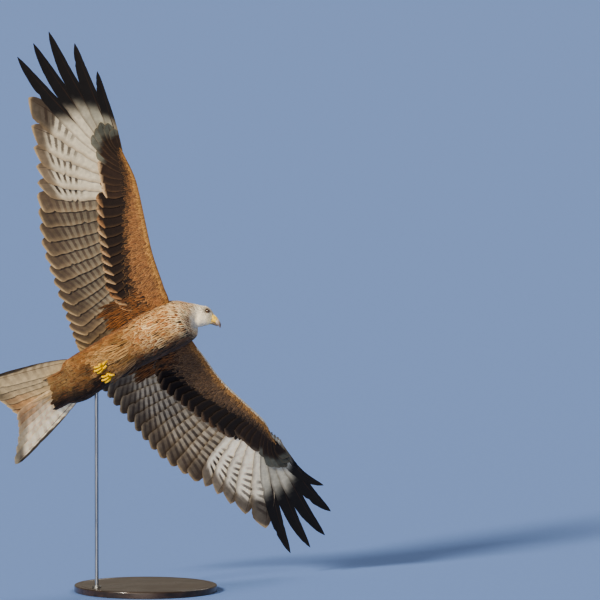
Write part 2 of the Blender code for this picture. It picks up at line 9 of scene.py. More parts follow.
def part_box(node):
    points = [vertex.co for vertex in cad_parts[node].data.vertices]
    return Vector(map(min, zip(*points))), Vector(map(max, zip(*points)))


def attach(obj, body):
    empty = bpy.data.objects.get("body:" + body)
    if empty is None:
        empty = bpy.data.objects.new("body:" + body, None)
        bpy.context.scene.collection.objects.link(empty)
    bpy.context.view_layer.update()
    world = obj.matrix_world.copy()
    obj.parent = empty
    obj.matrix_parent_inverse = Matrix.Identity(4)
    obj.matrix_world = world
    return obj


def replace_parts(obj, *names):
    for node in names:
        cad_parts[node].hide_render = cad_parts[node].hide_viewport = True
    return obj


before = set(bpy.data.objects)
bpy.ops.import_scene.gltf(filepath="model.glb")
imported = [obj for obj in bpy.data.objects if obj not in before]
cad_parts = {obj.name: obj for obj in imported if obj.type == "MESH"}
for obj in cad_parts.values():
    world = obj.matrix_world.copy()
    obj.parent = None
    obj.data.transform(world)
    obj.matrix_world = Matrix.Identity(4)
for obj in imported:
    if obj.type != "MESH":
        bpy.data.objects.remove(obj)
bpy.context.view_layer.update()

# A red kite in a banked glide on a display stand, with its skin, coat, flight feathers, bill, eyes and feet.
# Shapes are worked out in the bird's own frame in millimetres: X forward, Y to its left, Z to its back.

MM = 0.001
SEED = 24
RNG = np.random.default_rng(SEED)
# The bird's sides and the faces of its wings, as signs of Y and Z.
SIDES, FACES = {"left": 1, "right": -1}, {"under": -1, "upper": 1}
LEFTWARD, UPWARD = np.array((0, 1.0, 0)), np.array((0, 0, 1.0))

# The pose of the bird over its stand, as the solids have it.
CLIMB_DEG, ROLL_DEG, VIEW_DOWN_DEG = 28.5, 27.0, 5.0
BIRD_ORIGIN = np.array((-40.0, -60.0, 655.0))
HEAD_YAW_DEG, HEAD_PITCH_DEG, HEAD_ROLL_DEG = 43.2, 25.3, -55.5
EYE_LEVEL = np.array((225.0, 26.0, 16.0))

# Sections of the body: step, centre, half width, height above, depth below, share of the head's turn.
BODY_ROWS = (
    (0, -257, 0, -19, 12, 6, 8, 0), (1, -238, 0, -19, 29, 12, 16, 0),
    (2, -214, 0, -18, 47, 19, 27, 0), (3, -188, 0, -16.5, 60, 28, 36, 0),
    (4, -154, 0, -13, 65, 39, 45, 0), (5, -111, 0, -6.5, 62, 46.5, 50, 0),
    (6, -58, 0, 0, 61, 51.5, 55.5, 0), (7, 0, 0, 4, 61, 54, 58, 0),
    (8, 53, 0, 5, 65, 57, 62, 0), (9, 101, 0, 5, 66.5, 57, 63.5, 0),
    (10, 135, 1, 6.5, 67, 54, 65, 0.03), (11, 159, 5, 9.5, 59, 46, 59, 0.14),
    (12, 176, 11, 14, 47, 37.5, 49, 0.42), (13, 189, 15, 18, 36.5, 32.5, 40.5, 0.78),
)
# Sections of the head, in its own frame: step, forward, up, half width, height above, depth below.
HEAD_ROWS = (
    (14, -21, -15.5, 28, 29, 35), (15, -8, -14, 26, 28, 30.5), (16, 3, -13, 22.8, 25.5, 25),
    (17, 11, -13, 18, 21, 19.8), (18, 17.5, -13.5, 13.2, 15.6, 15.8),
)
LAST_STEP = 18.0
# Behind this step the coat runs straight back over the tail's root.
RUMP_STEP, RUMP_LENGTH, RUMP_SLANT = 2.1, 26.0, 26.0
# How deep the skin lies under the outside of the coat, at the body and at the face.
BODY_COAT, FACE_COAT = 3.6, 1.9
# The crop swells the skin where the neck turns to the left.
CROP_STEP, CROP_ANGLE, CROP_FULL, CROP_WIDTH = 12.5, 0.75, 5.0, 0.95
CROP_AHEAD, CROP_BEHIND = 1.9, 1.45
CROP_PUSH = np.array((12.5, 6.0, 0))

EYE_RADIUS, EYE_OUT, LID_RADIUS = 7.2, 14.4, 5.3
# How much painted shade darkens the coat in the hollows round the feet and eyes, and the loose feathers of
# each thigh.
PAINTED_HOLLOW_SHADE, TUFT_COUNT = 0.72, 190

# Sections of the bill, in the head's frame: step, forward, up, pitch in degrees, half width, above, below.
CERE_ROWS = (
    (0, 15.5, -8.6, 0, 12.0, 10.4, 10.0), (1, 20.5, -9.6, 1, 11.2, 10.0, 9.6),
    (2, 25.5, -10.9, 4, 9.9, 9.1, 8.8), (3, 30, -12.8, 8, 8.3, 7.9, 7.5),
)
BILL_ROWS = (
    (0, 28.5, -12.3, 7, 8.2, 7.9, 7.4), (1, 32, -13.8, 12, 7.5, 7.4, 6.8),
    (2, 36, -16.2, 20, 6.2, 6.4, 5.6), (3, 39, -18.5, 33, 5.0, 5.5, 4.6),
    (4, 41.4, -20.8, 47, 3.8, 4.6, 3.6), (5, 43.6, -23.3, 60, 2.5, 3.0, 2.4),
    (6, 45.0, -25.6, 70, 1.3, 1.7, 1.3), (7, 45.6, -27.2, 76, 0.35, 0.5, 0.4),
)
LOWER_BILL_ROWS = (
    (0, 12, -21.6, 0, 10.0, 5.2, 5.4), (1, 18, -21.6, 0, 8.8, 5.0, 4.9), (2, 25, -21.9, 0, 7.3, 4.2, 3.9),
    (3, 32, -22.9, 2, 5.2, 2.8, 2.8), (4, 36, -23.8, 5, 3.4, 1.8, 1.9), (5, 38, -24.4, 8, 1.5, 0.9, 1.0),
)
NOSTRIL_SIZE, NOSTRIL_PLACE, NOSTRIL_TILT_DEG = (2.3, 1.9, 1.15), (25.4, 9.3, -8.9), -24
# Where the horn starts to darken, in the head's frame, and which way it does.
BILL_ROOT, BILL_AHEAD = (30.0, 0.0, -12.8), (1.0, 0, -0.55)

# The wing in plan. Points are forward and out from the body's middle, and edges and depths go by the way out.
SHOULDER, ELBOW, WRIST, HAND_TIP = (138.0, 53.0), (90.0, 175.0), (196.0, 379.0), (231.0, 489.0)
LEADING_EDGE = ((30, 132), (53, 148), (106, 158), (212, 175), (291, 196), (366, 217), (397, 225), (500, 238))
REAR_EDGE = ((30, 0), (53, 20), (106, 34), (175, 58), (291, 118), (366, 158), (397, 174), (500, 213))
ARM_DEPTH = ((30, 36), (106, 28), (212, 22), (366, 18), (464, 14), (500, 9))
LEAD_SHIFTS = {"left": (-7.0, -19.0), "right": (1.5, -3.0)}
ROOT_HEIGHT, DIHEDRAL, BEND_UP = 34.5, 0.045, 0.000102
DROOP, DROOP_CHORD = 26.0, 160.0
PRIMARY_TIPS = (
    (-5, 515), (13, 556), (31, 605), (53, 659), (82, 731),
    (109, 843), (163, 856), (213, 855), (258, 794), (275, 702),
)
PRIMARY_TIP_LIFTS = (0, 0, 0, 0, -4, -10, -14, 6, 9, 4)
FIRST_FINGER, SECONDARIES = 5, 16
SECONDARY_TIPS = ((0, -24, 480), (3, -72, 360), (6, -93, 244), (9, -109, 138), (12, -119, 62), (15, -122, 34))
# Levels of the secondaries' pale and brown, the contrast between them, and the strength of their bars.
# The levels differ between the wings as painted light and shade, and the contrast is painted shade on each
# feather's outer half.
SECONDARY_LEVELS = {"left": (1.0, 0.8, 0.95, 0.9), "right": (0.34, 0.54, 0.75, 0.95)}
SECONDARY_WEBS, PRIMARY_WEBS = (17.0, 43.0), (17.0, 46.0)
FINGER_WEBS, LAST_FINGER_WEBS = (12.0, 27.0), (9.0, 20.0)
VANE_RISE, FEATHER_BOW = 0.078, 0.03
FINGER_BOWS = {"left": -0.04, "right": -0.025}
LAST_FINGER_BOWS = {"left": -0.1, "right": -0.01}
# Outlines of the large feathers: how far along, then the widths of the outer and the inner web.
STALK = ((0, 0.3, 0.3), (0.12, 0.6, 0.6), (0.38, 0.95, 0.95))
BLUNT_SHAPE = (*STALK, (0.9, 1, 1), (0.955, 0.93, 0.97), (0.985, 0.74, 0.88), (1, 0.35, 0.55))
PRIMARY_SHAPE = (*STALK, (0.88, 0.95, 1), (0.95, 0.76, 0.93), (0.985, 0.42, 0.7), (1, 0.1, 0.26))
TAIL_SHAPE = (*STALK, (0.82, 1, 1), (0.93, 0.9, 0.94), (0.97, 0.72, 0.8), (0.99, 0.46, 0.56), (1, 0.1, 0.14))
FINGER_SHAPE = (
    (0, 0.3, 0.3), (0.3, 1, 1), (0.55, 1, 1), (0.65, 0.86, 0.93), (0.74, 0.78, 0.84), (0.87, 0.58, 0.56),
    (0.95, 0.34, 0.3), (1, 0.03, 0.03),
)
COVERT_SHAPE = ((0, 0.4, 0.4), (0.3, 0.9, 0.9), (0.75, 1, 1), (0.93, 0.78, 0.85), (1, 0.2, 0.3))
# The greater coverts: where they start along the flight feather, how far they stand off the wing's middle,
# and where they end, by the face and by whether the feather is a primary.
COVERT_START, COVERT_RISES = 0.03, {"under": 5.0, "upper": 2.8}
COVERT_ENDS = {("under", True): 0.3, ("under", False): 0.36, ("upper", True): 0.3, ("upper", False): 0.42}
# How far a finger's greater coverts are tucked back from the leading edge, for each finger further out.
HAND_TUCK = {"left": 2.6, "right": 0.8}
# Rows of small coverts: distance behind the leading edge, feather length, width, spacing out along the wing.
COVERT_BANDS = (
    (1, 13, 4.0, 2.8), (5, 16, 5.0, 3.3), (10, 19, 6.0, 3.9), (16, 22, 6.8, 4.4), (22, 25, 7.6, 4.9),
    (29, 28, 8.4, 5.4), (36, 31, 9.4, 6.0), (44, 34, 10.5, 6.8), (52, 37, 12.0, 7.6), (61, 40, 13.5, 8.6),
    (70, 42, 15.0, 9.6),
)
# How far behind the leading edge the rufous band and the small coverts reach, by the way out.
RUFOUS_BAND = ((30, 66), (110, 62), (182, 57), (291, 33), (345, 20), (397, 10), (450, 5), (520, 3))
COVERT_REACH = (
    (30, 96), (110, 112), (182, 116), (291, 104), (345, 98), (397, 84), (450, 52), (505, 24), (520, 14),
)
WING_START, WING_END = 30, 520
# The part of the plan that the baked picture of a wing's small feathers covers.
WING_SPAN, WING_BEHIND, WING_CHORD, PICTURE_BORDER = 560, 20, 290, 0.01

TAIL_ROOT_X, TAIL_HEIGHT, TAIL_BEND = -150.0, -6.0, 42.0
TAIL_ROOT_STEPS, TAIL_BEND_STEPS = {1: 5.6, -1: 8.4}, {1: 10.0, -1: 11.0}
TAIL_FALL, TAIL_LIFT, TAIL_MIDDLE_LIFT = 0.105, 0.13, 1.2
TAIL_TIPS, TAIL_PAIRS, TAIL_WEBS = ((0, -353, 14), (2, -368, 58), (5, -415, 132)), 6, (13.0, 25.0)

FOOT_PLACES = {"right": (-104.0, -25.0), "left": (-98.0, 10.0)}
TOE_RADIUS, FOOT_DROP, CLAW_LENGTH, CLAW_TURN_DEG = 3.7, 8.5, 11.0, 80.0
BASE_RADIUS, BASE_HEIGHT, ROD_RADIUS = 190.0, 18.0, 5.0

# The camera: metres from the bird, metres across the view, sensor in millimetres, and its aim from the bird.
CAMERA_DISTANCE, VIEW_WIDTH, SENSOR, AIM = 30.0, 1.59, 36.0, (0.4505, 0.1272)
FLOOR_SIZE, SKY_STRENGTH = 160.0, 0.32
# Lights: name, where the light goes, strength, softness, colour.
LAMPS = (
    ("key", (0.54, 0.68, -0.45), 4.3, 9.0, (1.0, 0.91, 0.76)),
    ("front", (0.08, 1.0, -0.02), 1.15, 35.0, (1.0, 0.91, 0.76)),
    ("rim", (-0.5, -0.6, -0.75), 1.0, 30.0, (1.0, 0.97, 0.92)),
)


def rgb(red, green, blue):
    """A screen colour from 0 to 255, as linear values."""
    share = np.array((red, green, blue)) / 255
    return np.where(share <= 0.04045, share / 12.92, ((share + 0.055) / 1.055) ** 2.4)


CREAM, CREAM_WHITE, WHITISH = rgb(238, 216, 172), rgb(222, 211, 186), rgb(247, 241, 226)
LORE_YELLOW, BUFF, GOLD = rgb(244, 226, 160), rgb(216, 170, 112), rgb(210, 158, 92)
RUFOUS, CHESTNUT, OLIVE = rgb(176, 112, 58), rgb(130, 82, 46), rgb(138, 104, 54)
BROWN, BAR_BROWN, DARK, BLACK = rgb(100, 72, 46), rgb(84, 70, 58), rgb(48, 33, 23), rgb(24, 20, 19)
PALE_GREY, GREY_GREEN, GREY_BROWN = rgb(196, 180, 152), rgb(134, 136, 122), rgb(122, 102, 80)
HEAD_CREAM, HEAD_GREY = rgb(236, 228, 208), rgb(182, 160, 130)
FLOOR_COLOUR, SKY_COLOUR = rgb(108, 140, 202), rgb(226, 214, 198)


def smooth(rows):
    """A smooth curve through rows of (parameter, value, ...), for arrays of the parameter."""
    table = np.array(rows, float)
    knots, values = table[:, 0], table[:, 1:]
    slopes = np.gradient(values, knots, axis=0)

    def at(x):
        inside = np.clip(np.asarray(x, float), knots[0], knots[-1])
        i = np.clip(np.searchsorted(knots, inside, side="right") - 1, 0, len(knots) - 2)
        step = (knots[i + 1] - knots[i])[..., None]
        t = (inside - knots[i])[..., None] / step
        ends = (2 * t**3 - 3 * t**2 + 1) * values[i] + (3 * t**2 - 2 * t**3) * values[i + 1]
        return ends + ((t**3 - 2 * t**2 + t) * slopes[i] + (t**3 - t**2) * slopes[i + 1]) * step

    return at


def ease(x):
    x = np.clip(x, 0, 1)
    return x * x * (3 - 2 * x)


def band(x, start, end, soft):
    """1 where x lies between start and end, with soft borders."""
    return ease((x - start) / soft + 0.5) * (1 - ease((x - end) / soft + 0.5))


def hill(x, middle, width):
    """1 at the middle, falling away smoothly to either side."""
    return np.exp(-(((x - middle) / width) ** 2))


def mix(a, b, share):
    share = np.asarray(share)[..., None]
    return a * (1 - share) + b * share


def joined(*parts):
    """Numbers and arrays side by side in a last axis."""
    return np.stack(np.broadcast_arrays(*parts), axis=-1)


def unit(vectors):
    return vectors / np.maximum(np.linalg.norm(vectors, axis=-1, keepdims=True), 1e-9)


def circle(count):
    """Angles evenly round a full turn."""
    return np.linspace(0, math.tau, count, endpoint=False)


def view_axes():
    """The camera's up, and the direction from the bird to it."""
    down = math.radians(VIEW_DOWN_DEG)
    return np.array((0, math.sin(down), math.cos(down))), np.array((0, -math.cos(down), math.sin(down)))


def pose_matrix():
    """How the bird's frame is turned in the world."""
    climb, roll = math.radians(CLIMB_DEG), math.radians(ROLL_DEG)
    view_up, to_viewer = view_axes()
    ahead = np.array((1.0, 0, 0))
    forward = math.cos(climb) * ahead + math.sin(climb) * view_up
    across = -math.sin(climb) * ahead + math.cos(climb) * view_up
    right = math.cos(roll) * across + math.sin(roll) * to_viewer
    back = math.sin(roll) * across - math.cos(roll) * to_viewer
    return joined(forward, -right, back)


POSE = pose_matrix()
HEAD_TURN = (
    Quaternion((0, 0, 1), math.radians(HEAD_YAW_DEG))
    @ Quaternion((0, 1, 0), math.radians(HEAD_PITCH_DEG))
    @ Quaternion((1, 0, 0), math.radians(-HEAD_ROLL_DEG))
)
HEAD, HEAD_AXIS = np.array(HEAD_TURN.to_matrix()), np.array(HEAD_TURN.axis)
BILL_HEADING = POSE @ HEAD @ np.array(BILL_AHEAD)


def to_world(points):
    """Points of the bird's frame, in millimetres, in the world in metres."""
    return (points @ POSE.T + BIRD_ORIGIN) * MM


def from_world(points):
    """Points of the world, in millimetres, in the bird's frame."""
    return (points - BIRD_ORIGIN) @ POSE


def in_head(ahead, left, up):
    """Points given in the head's frame, from the level of the eyes, in the bird's frame."""
    return EYE_LEVEL + joined(ahead, left, up).astype(float) @ HEAD.T


def from_head(points):
    """How far ahead, to the left and up points lie in the head's frame."""
    return np.moveaxis((points - EYE_LEVEL) @ HEAD, -1, 0)


def body_rows():
    """All sections from the tail to the face, in the bird's frame."""
    rows = list(BODY_ROWS)
    for step, ahead, height, wide, above, below in HEAD_ROWS:
        rows.append((step, *in_head(ahead, 0, height), wide, above, below, 1))
    return rows


BODY_CURVE = smooth(body_rows())


def turned(vector, share):
    """A vector turned by a share of the head's turn."""
    angle = (HEAD_TURN.angle * share)[..., None]
    cross = np.cross(HEAD_AXIS, vector)
    along = HEAD_AXIS * HEAD_AXIS.dot(vector)
    return vector * np.cos(angle) + cross * np.sin(angle) + along * (1 - np.cos(angle))


def section_axes(row):
    """The directions to the left and to the back in sections of the body."""
    share = np.clip(row[..., 6], 0, 1)
    return turned(LEFTWARD, share), turned(UPWARD, share)


def shape_face(points):
    """Sinks the skin round the eyes, hollows the lores and raises the brows."""
    ahead, left, up = from_head(points)
    away = np.hypot(ahead, up)
    brow = hill(ahead, 1.0, 8.5) * hill(up + 0.16 * ahead, 6.6, 2.2)
    lore = hill(ahead, 12.0, 5.0) * hill(up, -3.5, 4.5)
    up = up + 4.6 * hill(ahead, -19.0, 20.0) * ease((up - 2.0) / 18.0)
    out = np.abs(left)
    out = out + ease((out - 8) / 6) * (1.7 * brow - 1.2 * lore)
    reach = np.hypot(ahead, np.where(up > 0, 1.4, 1.2) * up)
    mound = EYE_OUT + 4.1 - 0.8 * np.maximum(reach - LID_RADIUS, 0)
    out = out + ease((out - 5.5) / 7.0) * np.maximum(mound - out, 0)
    rim = EYE_OUT + 4.4 + 0.75 * np.maximum(away - LID_RADIUS, 0) - 0.5 * np.maximum(LID_RADIUS - away, 0)
    out = np.where((away < 9.5) & (out > 9), np.minimum(out, rim), out)
    return in_head(ahead, np.sign(left) * out, up)


def body_surface(step, angle, grow=0.0):
    """Points on the body, neck and head; angle 90 degrees is the back."""
    row = BODY_CURVE(np.maximum(step, RUMP_STEP))
    left, up = section_axes(row)
    wide, above, below = (row[..., k] + grow for k in (3, 4, 5))
    tall = np.where(np.sin(angle) > 0, above, below)
    across = np.maximum(wide, 1) * np.cos(angle)
    points = row[..., :3] + left * across[..., None] + up * (np.maximum(tall, 1) * np.sin(angle))[..., None]
    slant = ease((0.2 - np.cos(angle)) / 0.9) * (1 - ease((step - RUMP_STEP + 0.4) / 2.4))
    past = RUMP_LENGTH * np.minimum(step - RUMP_STEP, 0) + RUMP_SLANT * slant
    points = points + joined(past, 0, 0)
    face = ease((np.asarray(step) - 14.2) / 0.8)[..., None]
    return points * (1 - face) + shape_face(points) * face


def skin_surface(step, angle):
    """The skin under the coat, fuller at the crop."""
    step = np.asarray(step)
    turn = (np.asarray(angle) + CROP_ANGLE + math.pi) % math.tau - math.pi
    away = step - CROP_STEP
    crop = hill(away, 0, np.where(away > 0, CROP_AHEAD, CROP_BEHIND)) * hill(turn, 0, CROP_WIDTH)
    coat_depth = BODY_COAT + (FACE_COAT - BODY_COAT) * ease((step - 12.6) / 2.2)
    return body_surface(step, angle, CROP_FULL * crop - coat_depth) + crop[..., None] * CROP_PUSH


LEADING_CURVE, REAR_CURVE, DEPTH_CURVE = smooth(LEADING_EDGE), smooth(REAR_EDGE), smooth(ARM_DEPTH)


def lead_at(word, out):
    """The wing's leading edge, how far forward it lies at a distance out."""
    arm_shift, hand_shift = LEAD_SHIFTS[word]
    shift = arm_shift * ease((out - 120) / 150) + (hand_shift - arm_shift) * ease((out - 400) / 100)
    return LEADING_CURVE(out)[..., 0] + shift


def wing_height(forward, out):
    """The height of the wing's middle surface at a point of its plan."""
    along = np.clip((forward - LEADING_CURVE(out)[..., 0] + DROOP_CHORD) / DROOP_CHORD, 0, 1.15)
    droop = DROOP * (1 - ease((out - 350) / 300))
    return ROOT_HEIGHT + DIHEDRAL * out + BEND_UP * out * out - droop * along * along


def arm_half(word, forward, out, shrink=1.0):
    """Half the thickness of the arm and hand at a point of the plan, 0 off them."""
    rear, lead = REAR_CURVE(out)[..., 0], lead_at(word, out)
    along = np.clip((forward - rear) / np.maximum(lead - rear, 1), 0, 1)
    depth = DEPTH_CURVE(out)[..., 0] * (1 - ease((out - 495) / 25))
    return shrink * 0.62 * depth * (0.16 + 0.84 * along**0.6) * (2 * np.sqrt(along * (1 - along))) ** 0.8


# What each point of a feather carries: the colours of the vane and of its marks; its place across and along
# the vane and its own chance; the amounts of streak, bars and fringe; its place on the baked picture.
TINT, MARK, VANE, LOOK, PLACE, FIELDS = slice(0, 3), slice(3, 6), slice(6, 9), slice(9, 12), slice(12, 14), 14


class Batch:
    """Gathers the meshes of many feathers into one piece."""

    def __init__(self):
        self.points, self.quads, self.fields, self.count = [], [], [], 0

    def add(self, points, quads, fields):
        """Points are (n, 3) in millimetres, quads index them, and fields are (n, FIELDS)."""
        self.points.append(points)
        self.quads.append(quads + self.count)
        self.fields.append(fields)
        self.count += len(points)

    def build(self, name, material, slot):
        points, quads, fields = (np.concatenate(part) for part in (self.points, self.quads, self.fields))
        mesh = bpy.data.meshes.new(name)
        mesh.vertices.add(len(points))
        mesh.vertices.foreach_set("co", to_world(points).ravel())
        mesh.loops.add(quads.size)
        mesh.loops.foreach_set("vertex_index", quads.ravel())
        mesh.polygons.add(len(quads))
        mesh.polygons.foreach_set("loop_start", np.arange(0, quads.size, 4))
        mesh.polygons.foreach_set("loop_total", np.full(len(quads), 4))
        mesh.update(calc_edges=True)
        mesh.validate()
        for key, part in (("tint", TINT), ("mark", MARK), ("vane", VANE), ("look", LOOK)):
            store(mesh, key, fields[:, part])
        uv = mesh.uv_layers.new(name="OFBake")
        corners = np.zeros(len(mesh.loops), int)
        mesh.loops.foreach_get("vertex_index", corners)
        uv.data.foreach_set("uv", np.clip(fields[corners, PLACE], 0.0005, 0.9995).ravel())
        mesh.shade_smooth()
        mesh.set_sharp_from_angle(angle=math.radians(50))
        return finish_piece(name, mesh, material)


def store(mesh, name, values):
    """Writes a value for each point of the mesh: tint and mark as colours, the others as vectors."""
    if name in ("tint", "mark"):
        attribute, field = mesh.attributes.new(name, "FLOAT_COLOR", "POINT"), "color"
        values = np.column_stack((values, np.ones(len(values))))
    else:
        attribute, field = mesh.attributes.new(name, "FLOAT_VECTOR", "POINT"), "vector"
    attribute.data.foreach_set(field, np.ascontiguousarray(values, np.float32).ravel())


def linked(name, mesh):
    obj = bpy.data.objects.new(name, mesh)
    bpy.context.scene.collection.objects.link(obj)
    return obj


def finish_piece(name, mesh, material):
    """Makes the mesh a piece of the part."""
    obj = linked(name, mesh)
    mesh.materials.append(material)
    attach(obj, "root")
    return obj


def leaf_quads(feathers, stations):
    """The faces of many closed leaves with four points at each station: left, top, right and under."""
    one = []
    for j in range(stations - 1):
        for k in range(4):
            one.append((4 * j + k, 4 * (j + 1) + k, 4 * (j + 1) + (k + 1) % 4, 4 * j + (k + 1) % 4))
    end = 4 * (stations - 1)
    one += [(0, 1, 2, 3), (end + 3, end + 2, end + 1, end)]
    start = np.arange(feathers)[:, None, None] * (4 * stations)
    return (np.array(one)[None] + start).reshape(-1, 4)


# Outlines of the small feathers: how far along, then the width.
LEAF = ((0.0, 0.35), (0.3, 0.85), (0.68, 1.0), (0.92, 0.6), (1.0, 0.12))
POINTED_LEAF = ((0.0, 0.4), (0.35, 1.0), (0.72, 0.72), (1.0, 0.08))
# The four points at each station of a leaf, and how far they lie from the middle of its patch on the picture.
LEAF_ACROSS, LEAF_PATCH = np.array((-1.0, 0.0, 1.0, 0.0)), 0.0014


def lay(batch, surface, u, v, heading, outward, size, lift, paint, places, shape=LEAF, bed=0.9):
    """Lays closed leaves on surface(u, v), each with its root sunk and its tip lifted.

    heading is the direction of growth in u and v, and size is the length and width. outward is the sign that
    turns the surface's u-by-v normal out of the body. paint is tint, mark and look. places are those of the
    roots on the baked picture. bed is how deep a root is sunk.
    """
    count, eps = len(u), 1e-3
    du, dv = (np.broadcast_to(part, count) for part in heading)
    length, width = size
    along_u = (surface(u + eps, v) - surface(u - eps, v)) / (2 * eps)
    along_v = (surface(u, v + eps) - surface(u, v - eps)) / (2 * eps)
    speed = np.linalg.norm(along_u * du[:, None] + along_v * dv[:, None], axis=1)
    chance = RNG.random(count)
    roll = RNG.normal(0, 0.07, count)
    twist = RNG.normal(0, 0.035, count)
    points = np.zeros((count, len(shape), 4, 3))
    fields = np.zeros((count, len(shape), 4, FIELDS))
    for j, (t, share) in enumerate(shape):
        reach = length * t / np.maximum(speed, 1e-6)
        uu, vv = u + du * reach, v + dv * reach
        here = surface(uu, vv)
        eu = (surface(uu + eps, vv) - here) / eps
        ev = (surface(uu, vv + eps) - here) / eps
        normal = unit(np.cross(eu, ev)) * outward
        side = np.cross(normal, unit(eu * du[:, None] + ev * dv[:, None]))
        half = (width * share / 2)[:, None]
        rise = (-bed + (lift + bed) * t**0.8)[:, None]
        middle = here + normal * rise + (length * t * twist)[:, None] * side
        thick = 0.14 + 0.08 * (1 - t)
        sag = 0.1 * half * (1 + 0.4 * t)
        left = middle - side * half - normal * (sag + half * roll[:, None])
        right = middle + side * half - normal * (sag - half * roll[:, None])
        points[:, j] = np.stack((left, middle + normal * thick, right, middle - normal * thick), axis=1)
        fields[:, j, :, VANE] = joined(LEAF_ACROSS, t, chance[:, None])
        fields[:, j, :, PLACE] = places[:, None] + LEAF_PATCH * joined(LEAF_ACROSS, 2 * t - 1)
    for part, value in zip((TINT, MARK, LOOK), paint):
        fields[..., part] = np.broadcast_to(value, (count, 3))[:, None, None]
    batch.add(points.reshape(-1, 3), leaf_quads(count, len(shape)), fields.reshape(-1, FIELDS))


def plate_quads(rows, columns):
    """The faces of a closed plate: an upper and a lower sheet of points and the rim between them."""
    index = np.arange(rows * columns).reshape(rows, columns)
    base = rows * columns
    near, near2, far, far2 = index[:-1, :-1], index[:-1, 1:], index[1:, :-1], index[1:, 1:]
    top = joined(near, near2, far2, far).reshape(-1, 4)
    bottom = joined(near, far, far2, near2).reshape(-1, 4) + base
    loop = [*index[0, :], *index[1:, -1], *index[-1, -2::-1], *index[-2:0:-1, 0]]
    rim = [(a, a + base, b + base, b) for a, b in zip(loop, loop[1:] + loop[:1])]
    return np.concatenate((top, bottom, np.array(rim)))


# How much of its cell on the baked picture a large feather fills, and the bottom and height for each face.
CELL_FILL, CELL_HEIGHTS = 0.94, ((0.0, 0.495), (0.505, 0.49))


def feather(
    batch, side, line, shape, webs, slant, height, under, upper, cell, stations=34, columns=9, jagged=True
):
    """One large feather: a curved vane round a shaft that runs in plan along line(t), a web to either side.

    It is made as for the left, and side -1 turns it over. height(x, y, t) gives the middle surface's height.
    slant is how far the end of the inner web is cut back. under and upper give tint, mark and look from
    (t, across) for the two faces. cell is the feather's number and the count of those on the baked picture.
    """
    t = 1 - (1 - np.linspace(0, 1, stations)) ** 1.25
    centre = line(t)
    ahead = unit(np.gradient(centre, axis=0))
    outer = joined(ahead[:, 1], -ahead[:, 0])
    share = np.linspace(-1, 1, columns)
    jag = np.ones((stations, 2))
    if jagged:
        jag -= 0.05 * RNG.random((stations, 2))
        for web in range(2):
            for at in RNG.integers(stations // 3, stations - 2, 2):
                jag[at, web] -= 0.12 * RNG.random()
    inner_half, outer_half = (smooth(shape)(t)[:, ::-1] * np.array(webs[::-1]) * jag).T[..., None]
    offset = share * np.where(share > 0, outer_half, inner_half)
    t = t[:, None]
    cut = slant * (np.maximum(-offset, 0) + 0.12 * np.maximum(offset, 0)) * ease((t - 0.45) / 0.5)
    plan = centre[:, None] + outer[:, None] * offset[..., None] - ahead[:, None] * cut[..., None]
    x, y = plan[..., 0], plan[..., 1]
    camber = 1.1 * (1 - share * share) * np.sin(np.pi * t) ** 0.5
    z = height(x, y, t) + VANE_RISE * offset + camber
    thick = 0.16 + 0.62 * (1 - t) ** 0.7 * hill(share, 0, 0.16)
    t, across = np.broadcast_arrays(t, share)
    fields = np.zeros((2, stations, columns, FIELDS))
    fields[..., VANE] = joined(across, t, RNG.random())
    number, count = cell
    place_across = (number + CELL_FILL * (0.5 + 0.44 * across)) / count
    for field, colour, (low, tall) in zip(fields, (upper, under), CELL_HEIGHTS):
        field[..., TINT], field[..., MARK], field[..., LOOK] = colour(t, across)
        field[..., PLACE] = joined(place_across, low + tall * (0.03 + 0.94 * t))
    points = np.stack((joined(x, y, z + thick), joined(x, y, z - thick))).reshape(-1, 3) * (1, side, 1)
    quads = plate_quads(stations, columns)
    batch.add(points, quads if side > 0 else quads[:, ::-1], fields.reshape(-1, FIELDS))


def remex_plan(word):
    """Each flight feather in plan, from the outer finger to the one at the body."""
    plan = []
    wrist, hand_tip = np.array(WRIST), np.array(HAND_TIP)
    last = len(PRIMARY_TIPS) - 1
    for i in range(last, -1, -1):
        root = wrist + (0.04 + 0.96 * i / last) * (hand_tip - wrist)
        if i < FIRST_FINGER:
            look = PRIMARY_SHAPE, PRIMARY_WEBS, FEATHER_BOW
        elif i < last:
            look = FINGER_SHAPE, FINGER_WEBS, FINGER_BOWS[word]
        else:
            look = FINGER_SHAPE, LAST_FINGER_WEBS, LAST_FINGER_BOWS[word]
        plan.append((root, np.array(PRIMARY_TIPS[i], float), PRIMARY_TIP_LIFTS[i], *look, i + 1))
    tips = smooth(SECONDARY_TIPS)
    for i in range(SECONDARIES):
        share = (i + 0.8) / 10
        start, end = (WRIST, ELBOW) if share < 1 else (ELBOW, SHOULDER)
        along = share if share < 1 else (share - 1) * 1.6
        root = np.array(start) + along * (np.array(end) - np.array(start))
        plan.append((root, tips(i), 0, BLUNT_SHAPE, SECONDARY_WEBS, FEATHER_BOW, -i))
    return plan


def bowed(root, tip, bow):
    """A feather's shaft in plan, from root to tip, bowed towards its outer side."""
    reach = tip - root
    outer = np.array((reach[1], -reach[0]))

    def line(t):
        t = np.asarray(t)[:, None]
        return root + t * reach + 4 * t * (1 - t) * bow * outer

    return line


